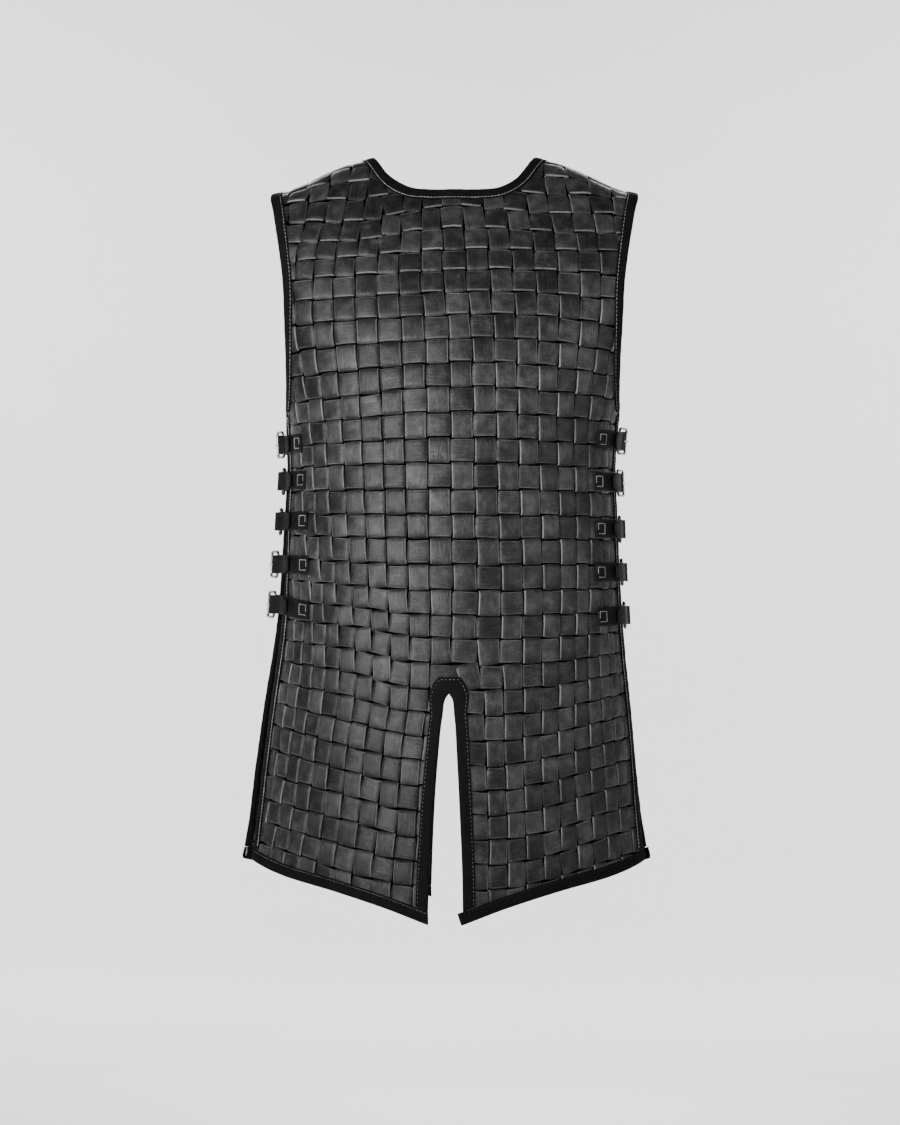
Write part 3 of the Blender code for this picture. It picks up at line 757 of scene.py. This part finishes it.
def as_mesh(bm, name):
    """A bmesh that is done with, as a mesh."""
    mesh = bpy.data.meshes.new(name)
    bm.to_mesh(mesh)
    bm.free()
    return mesh


def as_bmesh(mesh):
    """A mesh that is done with, as a bmesh."""
    bm = bmesh.new()
    bm.from_mesh(mesh)
    bpy.data.meshes.remove(mesh)
    return bm


def points_of(mesh):
    """A mesh's points as rows of numbers."""
    points = np.empty(len(mesh.vertices) * 3)
    mesh.vertices.foreach_get("co", points)
    return points.reshape(-1, 3)


def move_points(mesh, places):
    mesh.vertices.foreach_set("co", places.ravel())


def grid_bmesh(columns, rows):
    """A flat grid from -1 to 1 each way, ready to be bent."""
    bm = bmesh.new()
    bmesh.ops.create_grid(bm, x_segments=columns - 1, y_segments=rows - 1, size=1.0)
    return bm


def grid_line(co, count):
    """Which of a grid's lines a coordinate stands on, as a number from 0 to count - 1."""
    return (co + 1) / 2 * (count - 1)


def set_lay(mesh, lay, rise=None):
    """How each point lies on its strip, and how far the strip is up or under there, for the finishes."""
    layer = mesh.attributes.new("lay", "FLOAT_VECTOR", "POINT")
    layer.data.foreach_set("vector", np.asarray(lay, np.float32).ravel())
    if rise is not None:
        layer = mesh.attributes.new("rise", "FLOAT", "POINT")
        layer.data.foreach_set("value", np.asarray(rise, np.float32))


def add_object(name, data):
    made = bpy.data.objects.new(name, data)
    bpy.context.scene.collection.objects.link(made)
    return made


def add_piece(name, bm, finishes):
    """A finished mesh becomes a piece that rides on the armour's one body."""
    for face in bm.faces:
        face.smooth = True
    mesh = as_mesh(bm, name)
    for finish in finishes:
        mesh.materials.append(finish)
    piece = add_object(name, mesh)
    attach(piece, "root")
    return piece


def thicken(piece, thickness):
    """Gives a sheet its thickness, half to each side."""
    wall = piece.modifiers.new("thickness", "SOLIDIFY")
    wall.thickness = thickness
    wall.offset = 0.0


# ---------------------------------------------------------------- the woven strips

class Strip:
    """One strip of the weave: upright in a column, or level in a row."""

    def __init__(self, upright, number, start=0, rings=0):
        self.upright = upright
        self.number = number            # its column or row
        self.start = start              # the line at which it starts, in rings
        self.rings = rings              # its length
        self.over = 1 if (number % 2 == 1) == upright else -1      # whether it is on top in even squares

    def crossing(self, beside, along):
        """(across, drop) of a place along the strip, and that far beside its middle, in pitches."""
        line = np.full_like(along, self.number + 0.5) + beside
        return WEAVE.crossing(line, along) if self.upright else WEAVE.crossing(along, line)

    def pitch(self, along):
        """How much room the strip has from side to side."""
        half = JUST_HALF if self.upright else 0.5
        return np.linalg.norm(self.crossing(half, along) - self.crossing(-half, along), axis=-1)


def strip_blank(rings):
    """A straight flat strip with its outer edges rounded, cut across ready to be bent."""
    length = rings / RINGS
    bm = bmesh.new()
    bmesh.ops.create_cube(bm, size=1.0)
    bmesh.ops.scale(bm, vec=(UPRIGHT_WIDTH, length, STRIP), verts=bm.verts)

    def edges(test):
        return [e for e in bm.edges if test(*(abs(a - b) for a, b in zip(*(v.co for v in e.verts))), e)]

    corners = edges(lambda dx, dy, dz, e: dy > length / 2 and e.verts[0].co.z > 0)
    bmesh.ops.bevel(bm, geom=corners, offset=EDGE_ROUND, segments=2, profile=0.5, affect="EDGES", material=-1)
    for face in bm.faces:
        lean = face.normal.z
        face.material_index = HAIR_SIDE if lean > 0.2 else FLESH_SIDE if lean < -0.2 else CUT_EDGE
    for cuts, outer in ((5, True), (1, False)):
        bmesh.ops.subdivide_edges(
            bm, edges=edges(lambda dx, dy, dz, e: dx > UPRIGHT_WIDTH / 2 and (e.verts[0].co.z > 0) == outer),
            cuts=cuts, use_grid_fill=True)
    bmesh.ops.subdivide_edges(bm, edges=edges(lambda dx, dy, dz, e: dy > length / 2),
                              cuts=rings - 1, use_grid_fill=True)
    bmesh.ops.translate(bm, vec=(0.0, length / 2, 0.0), verts=bm.verts)
    return as_mesh(bm, "blank")


def find_strips(upright, chain):
    """Every strip that some of the panel inside the chain needs, from end to end."""
    columns, rows = (FIRST_COLUMN, LAST_COLUMN), (FIRST_ROW, LAST_ROW)
    lines, ends = (columns, rows) if upright else (rows, columns)
    ring = np.arange(ends[0] * RINGS, ends[1] * RINGS + 1)
    along = ring / RINGS
    found = []
    for number in range(*lines):
        strip = Strip(upright, number)
        centre = strip.crossing(0.0, along)
        reach = strip.pitch(along)[:, None] * NEEDED_SHARE
        side = np.concatenate((reach, 0 * reach) if upright else (0 * reach, reach), 1)
        needed = np.zeros(len(ring), bool)
        for part in (-1, -0.5, 0, 0.5, 1):
            needed |= inside(centre + side * part, chain)
        parted = not upright and WEAVE.row(np.array(number + 0.5), np.array(0.0)) > SLIT[0][1] - 0.012
        if parted:
            needed[ring == 0] = False
        starts = np.flatnonzero(needed & ~np.roll(needed, 1))
        stops = np.flatnonzero(needed & ~np.roll(needed, -1))
        for a, b in zip(starts, stops):
            low, high = ring[a] - 1, ring[b] + 1
            if parted:                          # its ends stay on their own side of the slit
                low, high = (max(low, 0), high) if ring[a] > 0 else (low, min(high, 0))
            if high - low > FEWEST_RINGS:
                found.append(Strip(upright, number, low, high - low))
    return found


def bend_strip(strip, flat, panel, chain, edge, rng):
    """Lays a straight blank's points along its line of the weave, over and under the others.

    Returns their places, how they lie on the strip, and how far the strip is up or under there.
    """
    hand = -1 if strip.upright == (panel.form.facing < 0) else 1
    sideways = flat[:, 0] / (UPRIGHT_WIDTH / 2) * hand
    lanes = np.abs(sideways) < 0.9
    sideways[lanes] = np.sign(sideways[lanes]) * np.abs(sideways[lanes]) ** LANES_TO_RIMS
    along = strip.start / RINGS + flat[:, 1]
    along = along - RINGS_TO_BENDS * np.sin(2 * pi * along)
    if not strip.upright and strip.start < 0 and strip.start + strip.rings == 0:
        along = np.minimum(along, -1e-6)            # it ends just on its own half
    squares = int(strip.rings / RINGS) + 5

    def wander(size):
        """A small smooth wander with a new value at each crossing."""
        values = rng.uniform(-size, size, squares)
        return np.interp(along - strip.start / RINGS + 1, np.arange(squares), values)

    pitch = strip.pitch(along)
    wave = np.sin(pi * along)
    squared = np.tanh(WAVE_STEEPNESS * wave) / np.tanh(WAVE_STEEPNESS)
    wave = strip.over * ((1 - PLAIN_WAVE) * squared + PLAIN_WAVE * wave)
    widest, share = (UPRIGHT_WIDTH, UPRIGHT_SHARE) if strip.upright else (LEVEL_WIDTH, LEVEL_SHARE)
    cut = np.minimum(widest, pitch * share) / 2 + wander(CUT_WANDER)
    hidden = np.clip((SPREADS_BELOW - wave) / SPREADS_OVER, 0.0, 1.0)
    half = cut * (1 - hidden) + pitch * HIDDEN_HALF * hidden
    flange = np.clip((np.abs(sideways) * half - cut) / (pitch * FLANGE_FADE), 0.0, 1.0)

    way = unit(strip.crossing(0.0, along + BESIDE) - strip.crossing(0.0, along - BESIDE))
    aside = quarter_turn(way) * (-1 if strip.upright else 1)
    on = strip.crossing(0.0, along) + aside * (sideways * half + wander(ASIDE_WANDER))[:, None]
    outside = ~inside(on, chain)
    if outside.any():
        on[outside] = nearest(on[outside], chain)
    free = np.array([edge.find((*place, 0.0))[2] for place in on])
    free = np.clip((free - BOUND_REACH) / BOUND_FADE, 0.0, 1.0)
    lift = (RISE_BOUND + (RISE - RISE_BOUND) * free) * wave + wander(TILT_WANDER) * sideways
    lift -= CROWN * (0.3 * sideways**2 + 0.7 * sideways**8)
    lift -= FLANGE_DROP * flange
    number = np.full(len(flat), strip.number + (UPRIGHT_NUMBERS if strip.upright else 0.0))
    # The rise handed to the finishes is taken lower on the flanges, so that they are painted in deeper shade.
    return (panel.form.place(on[:, 0], on[:, 1], lift + flat[:, 2]),
            np.stack([sideways, along, number], 1), wave - FLANGE_SHADE * flange)


def weave_strips(panel, upright, finishes):
    """All the upright or all the level strips of a panel, bent over and under each other."""
    chain = panel.outline(STRIP_INSET)
    edge = KDTree(len(chain))
    for n, place in enumerate(chain):
        edge.insert((*place, 0.0), n)
    edge.balance()

    strips = find_strips(upright, chain)
    blanks = {rings: strip_blank(rings) for rings in sorted({strip.rings for strip in strips})}
    bm = bmesh.new()
    for strip in strips:
        bm.from_mesh(blanks[strip.rings])
    name = f"{'upright' if upright else 'level'}_strips_{panel.where}"
    mesh = as_mesh(bm, name)

    rng = np.random.default_rng(11 + upright + 2 * (panel is BACK))
    firsts = np.cumsum([len(blanks[strip.rings].vertices) for strip in strips])[:-1]
    bent = [bend_strip(strip, flat, panel, chain, edge, rng)
            for strip, flat in zip(strips, np.split(points_of(mesh), firsts))]
    places, lays, rises = (np.concatenate(rows) for rows in zip(*bent))
    move_points(mesh, places)
    set_lay(mesh, lays, rises)
    for blank in blanks.values():
        bpy.data.meshes.remove(blank)

    bm = as_bmesh(mesh)
    bmesh.ops.remove_doubles(bm, verts=bm.verts, dist=SAME_PLACE)
    bmesh.ops.dissolve_degenerate(bm, edges=bm.edges, dist=SAME_PLACE)
    return add_piece(name, bm, finishes)


# ---------------------------------------------------------------- bindings and their thread

# Where stitches go: places along a line, and the way out of the leather at each
Seam = namedtuple("Seam", "places outs")


def ways_of(run, inward):
    """The way along an edge and the way in from it at each of its points, on the flat leather."""
    along = unit(np.gradient(run, axis=0))
    aside = quarter_turn(along)
    return along, -aside if np.dot(aside[len(run) // 2], inward) < 0 else aside


def fold_profile():
    """The folded binding in section: reach in from the panel's edge, and height out of the wall."""
    middle = WALL / 2 + BINDING_CLEAR + BINDING / 2
    tip = -BINDING_CLEAR - BINDING / 2
    flat = [(BINDING_WIDTH, middle - 0.00015), (BINDING_WIDTH - 0.0010, middle - 0.00030),
            (SEW_LINE, middle - STITCH_SINK), (SEW_LINE - 0.0012, middle - 0.00030),
            (0.0062, middle), (0.0036, middle + 0.00005)]
    turns = np.linspace(pi / 2, -pi / 2, 9)
    fold = [(tip + middle * (1 - cos(turn)), middle * sin(turn)) for turn in turns]
    return np.array(flat + fold + [(reach, -out) for reach, out in flat[::-1]])


def fold_binding(name, panel, run, inward, finish, slants=(0.0, 0.0), ends=(0.0, 0.0), widths=EVEN_WIDTH):
    """A leather strip folded over the panel's edge. Returns its outer and inner sewing lines.

    Its ends slant by slants and stand past the run's by ends. It is as wide as widths says.
    """
    run = resample(shifted(run, ends), BINDING_STEP)
    tangent, aside = ways_of(run, inward)
    wide = np.interp(run[:, 1], *np.array(widths).T)
    aside = aside * wide[:, None]
    fade = np.clip(1 - np.arange(len(run)) / SLANT_CUTS, 0, 1)[:, None]
    aside = aside + tangent * fade * slants[0] - tangent * fade[::-1] * slants[1]
    square = np.clip((run[:, 1] - SHOULDER_SEAM) / LEVEL_WITHIN, 0.0, 1.0)[:, None]
    aside = aside * square + np.stack([np.sign(aside[:, 0]), 0 * aside[:, 0]], 1) * (1 - square)

    profile = fold_profile()
    mesh = as_mesh(grid_bmesh(len(profile), len(run)), name)
    grid = points_of(mesh)
    i = np.rint(grid_line(grid[:, 0], len(profile))).astype(int)
    j = np.rint(grid_line(grid[:, 1], len(run))).astype(int)
    reach, out = profile[i].T
    along = chord_lengths(run)[j]
    rng = np.random.default_rng(len(name) + len(run))
    turns = along / BINDING_STEP * RIPPLE_RATE
    ripple = through(np.arange(len(run)), rng.uniform(-1, 1, (len(run), 2)), turns)[:, 0]
    out = out + np.sign(out) * (ripple * RIPPLE + (wide[j] - 1) * WIDE_STANDS_OUT)
    on = run[j] + aside[j] * np.maximum(reach, 0.0)[:, None]
    form = panel.form
    edge_step = (form.point(*(run[j] + aside[j] * 0.004).T) - form.point(*run[j].T)) / 0.004
    places = form.point(*on.T) + edge_step * np.minimum(reach, 0.0)[:, None]
    move_points(mesh, places + form.normal(*on.T) * out[:, None])
    set_lay(mesh, np.stack([i / len(profile), along, reach], 1))

    bm = as_bmesh(mesh)
    bmesh.ops.recalc_face_normals(bm, faces=bm.faces)
    piece = add_piece(name + "_leather", bm, [finish])
    thicken(piece, BINDING)
    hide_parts(name)

    line = run + aside * SEW_LINE
    outs = form.normal(*line.T)
    clear = WALL / 2 + BINDING_CLEAR + BINDING - STITCH_SINK + THREAD * 0.55 + (wide - 1) * WIDE_SEAM_OUT
    middle = form.point(*line.T)
    return [Seam(middle + outs * clear[:, None], outs), Seam(middle - outs * clear[:, None], -outs)]


def bind_panel(panel, finish):
    """All the bindings of a panel, the hem's last, over the ends of the others. Returns each edge's seams."""
    where = panel.where
    halves = {"left": panel.runs(1), "right": panel.runs(-1)}
    neck = np.concatenate([halves["left"]["neck"], halves["right"]["neck"][-2::-1]])
    slit = np.concatenate([halves["left"]["slit"][::-1], halves["right"]["slit"][1:]])
    back = -BINDING_WIDTH / cos(radians(HEM_SLOPE)) - SEAM_GAP
    slant = tan(radians(HEM_SLOPE + 1))
    seams = {
        "neck": fold_binding(f"neck_binding_{where}", panel, neck, (0, 1), finish),
        "slit": fold_binding(f"slit_binding_{where}", panel, slit, (0, -1), finish,
                             (slant, slant), (back, back), SLIT_BINDING_WIDTHS),
        "armhole": [],
        "side": [],
    }
    for side, runs in halves.items():
        inward = (-1 if side == "left" else 1, 0)
        seams["armhole"] += fold_binding(f"armhole_binding_{where}_{side}", panel, runs["armhole"], inward,
                                         finish, (0.0, ARMHOLE_SLANT), (0.0, -SEAM_GAP))
        widths = RIGHT_SKIRT_BINDING_WIDTHS if (where, side) == ("front", "right") else EVEN_WIDTH
        seams["side"] += fold_binding(f"side_binding_{where}_{side}", panel, runs["side"], inward, finish,
                                      ends=(-SEAM_GAP, -BINDING_WIDTH - BINDING - SEAM_GAP), widths=widths)
        slit_tab, side_tab, hem_slant = HEM_TABS[where, side]
        seams[f"hem_{side}"] = fold_binding(f"hem_binding_{where}_{side}", panel, runs["hem"], (0, -1),
                                            finish, (hem_slant, 0.0), (slit_tab, side_tab))
    return seams


def stitch_blanks(count):
    """Many copies of one little thread, which lies along X, as one mesh."""
    bm = bmesh.new()
    along_x = Matrix.Rotation(pi / 2, 4, "Y")
    bmesh.ops.create_uvsphere(bm, u_segments=6, v_segments=4, radius=1.0, matrix=along_x)
    thread = as_mesh(bm, "stitch")
    row = add_object("stitches", thread)
    copies = row.modifiers.new("copies", "ARRAY")
    copies.count = count
    copies.use_relative_offset = False
    made = bpy.data.meshes.new_from_object(row.evaluated_get(bpy.context.evaluated_depsgraph_get()))
    bpy.data.objects.remove(row)
    bpy.data.meshes.remove(thread)
    return made


def sew(name, seams, finish, pitch, length, radius):
    """A row of stitches along each seam, each lying a little across it."""
    places, ways, outs = [], [], []
    for seam in seams:
        along = chord_lengths(seam.places)
        middles = np.arange(pitch * 0.7, along[-1] - pitch * 0.4, pitch)

        def at(distances, rows):
            return np.stack([np.interp(distances, along, rows[:, n]) for n in range(3)], 1)

        places.append(at(middles, seam.places))
        ways.append(at(middles + length / 2, seam.places) - at(middles - length / 2, seam.places))
        outs.append(at(middles, seam.outs))
    places, ways, outs = (np.concatenate(rows)[:, None] for rows in (places, ways, outs))
    ways = unit(ways)
    aside = np.cross(outs, ways)
    ways = ways + aside * STITCH_LEAN
    mesh = stitch_blanks(len(places))
    blank = points_of(mesh).reshape(len(places), -1, 3) * (length / 2, radius, radius * 0.9)
    move_points(mesh, blank[..., :1] * ways + blank[..., 1:2] * aside + blank[..., 2:] * outs + places)
    add_piece(name, as_bmesh(mesh), [finish])


# ---------------------------------------------------------------- straps and buckles

class Station:
    """One strap station. Points are (place, up): up leans with the panel, so the strap lies flat on it."""

    def __init__(self, side, level, tilt, start, lean):
        self.side = side
        self.level = level
        self.tilt = tilt
        self.start = start
        self.lean = lean
        front_edge, front_up = self.on(FRONT, 0.0)
        back_edge, back_up = self.on(BACK, 0.0)
        self.up = (front_up + back_up).normalized()
        self.outward = side * max(side * front_edge.x, side * back_edge.x) + side * FRAME_STAND_OFF
        self.middle = (front_edge.y + back_edge.y) / 2

    def on(self, panel, inset, out=0.0):
        """A point on a panel, that far in from its side edge."""
        form = panel.form
        lean = self.lean * inset / self.start if panel is FRONT else 0.0
        drop = form.drop_at(self.level - lean)
        across = self.side * (float(panel.edge(drop)) - inset)
        up = Vector(form.place(across, drop - 0.01, out)) - Vector(form.place(across, drop + 0.01, out))
        return Vector(form.place(across, drop, out)), up.normalized()

    def by(self, bar, outward, back=0.0):
        """A point beside a bar of the frame: -1 is the heel bar, 1 is the far bar."""
        x = self.outward + self.side * (outward + self.tilt * (bar + 1) / 2)
        return Vector((x, self.middle + bar * FRAME_DEPTH / 2 + back, self.level)), self.up

    def round_bar(self, bar, radius, start, end, count):
        """Points on an arc round a bar; 0 degrees is outward and 90 degrees is towards the back."""
        turns = [radians(start + (end - start) * i / (count - 1)) for i in range(count)]
        return [self.by(bar, radius * cos(turn), radius * sin(turn)) for turn in turns]


def smooth_path(knots, count):
    """A smooth path of count points through (place, up) knots, and each point's place among the knots."""
    rows = np.array([(*place, *up) for place, up in knots])
    along = chord_lengths(rows[:, :3])
    at = np.linspace(0.0, along[-1], count)
    path = [(Vector(row[:3]), Vector(row[3:]).normalized()) for row in through(along, rows, at)]
    return path, np.interp(at, along, np.arange(len(knots)))


def cut_strap(name, knots, finish, slot_span, pointed):
    """A strap along a path, with a slot for the prong. A pointed strap narrows at its free end."""
    half = STRAP_WIDTH / 2
    lanes = (-half, -half * 0.55, -SLOT_WIDTH / 2, SLOT_WIDTH / 2, half * 0.55, half)
    path, knot_at = smooth_path(knots, STRAP_ROWS)
    bm = grid_bmesh(len(lanes), len(path))
    slot = []
    for face in bm.faces:
        middle = face.calc_center_median()
        at = np.interp(grid_line(middle.y, len(path)), np.arange(len(path)), knot_at)
        if 2 < grid_line(middle.x, len(lanes)) < 3 and slot_span[0] < at < slot_span[1]:
            slot.append(face)
    for vert in bm.verts:
        lane = lanes[round(grid_line(vert.co.x, len(lanes)))]
        row = round(grid_line(vert.co.y, len(path)))
        place, up = path[row]
        left = len(path) - 1 - row
        narrow = (1.0 - 0.38 * max(0.0, 1 - left / 7) ** 1.5) if pointed else 1.0
        vert.co = place + up * lane * narrow
    bmesh.ops.delete(bm, geom=slot, context="FACES")
    bmesh.ops.recalc_face_normals(bm, faces=bm.faces)
    piece = add_piece(name + "_leather", bm, [finish])
    thicken(piece, STRAP)
    edge = piece.modifiers.new("worn_edges", "BEVEL")
    edge.width = 0.0004
    edge.segments = 2
    edge.limit_method = "ANGLE"
    edge.angle_limit = radians(50)
    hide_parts(name)


def bend_wire(name, places, radius, closed, finish, tip=1.0):
    """A bent wire of round section, which narrows to tip at its end."""
    curve = bpy.data.curves.new(name, "CURVE")
    curve.dimensions = "3D"
    curve.bevel_depth = radius
    curve.bevel_resolution = 4
    curve.use_fill_caps = True
    spline = curve.splines.new("POLY")
    spline.points.add(len(places) - 1)
    for point, place in zip(spline.points, places):
        point.co = (*place, 1.0)
    spline.points[-1].radius = tip
    spline.use_cyclic_u = closed
    spline.use_smooth = True
    curve.materials.append(finish)
    piece = add_object(name + "_wire", curve)
    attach(piece, "root")
    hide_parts(name)


def box_seam(station, panel, near, far, out):
    """A sewn rectangle on a strap's fixed end, from one inset to another."""
    corners = [(near, -1), (far, -1), (far, 1), (near, 1), (near, -1)]
    places, outs = [], []
    for (inset, high), (next_inset, next_high) in zip(corners, corners[1:]):
        for part in np.linspace(0, 1, 6)[:-1]:
            at = inset + (next_inset - inset) * part
            up_by = (high + (next_high - high) * part) * BOX_HEIGHT / 2
            place, up = station.on(panel, at, out)
            base, _ = station.on(panel, at)
            places.append(place + up * up_by)
            outs.append((place - base).normalized())
    return Seam(np.array(places), np.array(outs))


def fit_station(label, station, leather, metal):
    """A strap, a billet, a buckle and its prong. Returns the seams that hold the strap and the billet."""
    lie = WALL / 2 + SEAM_GAP + STRAP / 2 + 0.0005
    over = WALL / 2 + BINDING_CLEAR + BINDING + SEAM_GAP + STRAP / 2 + 0.0008
    fold = WIRE + SEAM_GAP + STRAP / 2
    heel, far = -1, 1

    # The strap is sewn to the front panel and folds round the heel bar.
    knots = [station.on(FRONT, inset, out) for inset, out in
             ((station.start, lie), (0.043, lie), (0.029, lie), (0.0155, over), (0.003, over))]
    knots += station.round_bar(heel, fold, -52, 188, 7)
    cut_strap(f"strap_{label}", knots, leather, (4.2, 11.2), pointed=False)

    # The billet comes from the back panel, under the far bar and over the heel bar, to lie on the strap.
    rise = fold + STRAP + SEAM_GAP + 0.0002
    knots = [station.on(BACK, inset, out) for inset, out in
             ((0.065, lie), (0.047, lie), (0.032, lie), (0.0185, over), (0.004, over), (-0.0022, over))]
    knots += [station.by(far, -fold, 0.0002), station.by(far, -fold, -0.0045),
              station.by(heel, rise - 0.0010, 0.0060)]
    knots += station.round_bar(heel, rise, 5, -48, 3)
    knots += [station.on(FRONT, inset, over + STRAP + SEAM_GAP + 0.0003) for inset in (0.006, 0.018, 0.025)]
    cut_strap(f"billet_{label}", knots, leather, (6.6, 9.4), pointed=True)

    # The frame is a rounded oblong of wire; the prong is ringed on the heel bar and rests on the far bar.
    loop = []
    for bar, high, start in ((heel, -1, 180), (far, -1, 270), (far, 1, 0), (heel, 1, 90)):
        for turn in (radians(start + 15 * n) for n in range(7)):
            back = FRAME_CORNER * (cos(turn) - bar)
            place, up = station.by(bar, station.tilt * back / FRAME_DEPTH, back)
            loop.append(place + up * (high * (FRAME_HEIGHT / 2 - FRAME_CORNER) + FRAME_CORNER * sin(turn)))
    bend_wire(f"buckle_{label}", loop, WIRE, True, metal)
    ring = WIRE + SEAM_GAP + PRONG
    pin = station.round_bar(heel, ring, -190, 0, 14)
    pin += [station.by(far, ring - station.tilt / 2, -FRAME_DEPTH / 2), station.by(far, ring)]
    pin += [station.by(far, ring - 0.0002, 0.0028)]
    bend_wire(f"prong_{label}", [place for place, _ in pin], PRONG, False, metal, tip=0.6)

    top = lie + STRAP / 2 + THREAD * 0.6
    return [box_seam(station, FRONT, station.start - 0.0030, station.start - 0.0155, top),
            box_seam(station, BACK, 0.0625, 0.0480, top)]


# ---------------------------------------------------------------- stage

def make_backdrop():
    """A pale paper floor that sweeps up behind the armour."""
    bm = bmesh.new()
    edge = [bm.verts.new((-8.0, y, z)) for y, z in ((-6.0, FLOOR), (6.5, FLOOR), (6.5, 6.0))]
    for pair in zip(edge, edge[1:]):
        bm.edges.new(pair)
    bmesh.ops.bevel(bm, geom=[edge[1]], offset=1.6, segments=16, profile=0.5, affect="VERTICES", material=-1)
    made = bmesh.ops.extrude_edge_only(bm, edges=bm.edges[:])
    bmesh.ops.translate(bm, vec=(16.0, 0.0, 0.0),
                        verts=[v for v in made["geom"] if isinstance(v, bmesh.types.BMVert)])
    bmesh.ops.recalc_face_normals(bm, faces=bm.faces)
    for face in bm.faces:
        face.smooth = True
    mesh = as_mesh(bm, "floor")
    mesh.materials.append(make_backdrop_paper())
    add_object("floor", mesh)


def light_stage():
    """A dim room and soft round lights."""
    world = bpy.data.worlds.new("soft_room")
    world.use_nodes = True
    room = world.node_tree.nodes["Background"]
    room.inputs["Color"].default_value = (0.92, 0.95, 1.0, 1.0)
    room.inputs["Strength"].default_value = 0.145
    bpy.context.scene.world = world
    for name, place, aim, size, power, spread in LIGHTS:
        lamp = bpy.data.lights.new(name, "AREA")
        lamp.shape = "DISK"
        lamp.size = size
        lamp.energy = power
        lamp.spread = radians(spread)
        made = add_object(name, lamp)
        made.location = place
        made.rotation_euler = (Vector(aim) - Vector(place)).to_track_quat("-Z", "Y").to_euler()


def set_camera():
    """Looks at the armour from in front, a little to one side."""
    turn = radians(CAMERA_AZIMUTH)
    view = bpy.data.cameras.new("camera")
    view.lens = LENS
    view.sensor_width = 36.0
    camera = add_object("camera", view)
    camera.location = (CAMERA_DISTANCE * sin(turn) + CAMERA_ASIDE * cos(turn),
                       -CAMERA_DISTANCE * cos(turn) + CAMERA_ASIDE * sin(turn), CAMERA_LEVEL)
    camera.rotation_euler = (pi / 2, 0.0, turn)
    bpy.context.scene.camera = camera


# ---------------------------------------------------------------- put together

strip_finishes = [make_strip_leather(), make_cut_edge(), make_flesh_side()]
binding_leather = make_binding_leather()
strap_leather = make_strap_leather()
threads = {
    "clean_thread": make_thread("clean_thread", 0.20, 0.78),
    "worn_thread": make_thread("worn_thread", 0.03, 0.40),
    "black_thread": make_thread("black_thread", 0.010, 0.050),
}
steel = make_nickelled_steel()

for panel in (FRONT, BACK):
    upright = weave_strips(panel, True, strip_finishes)
    level = weave_strips(panel, False, strip_finishes)
    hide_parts(f"{panel.where}_panel")
    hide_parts(f"{panel.where}_panel")
    for edge, seams in bind_panel(panel, binding_leather).items():
        thread, *stitch = SEWING[edge]
        sew(f"{edge}_stitches_{panel.where}", seams, threads[thread], *stitch)

strap_seams = []
for side, sign in (("left", 1), ("right", -1)):
    for number, station in enumerate(STATIONS[side], 1):
        strap_seams += fit_station(f"{side}_{number}", Station(sign, *station), strap_leather, steel)
thread, *stitch = SEWING["strap"]
sew("strap_stitches", strap_seams, threads[thread], *stitch)

make_backdrop()
light_stage()
set_camera()
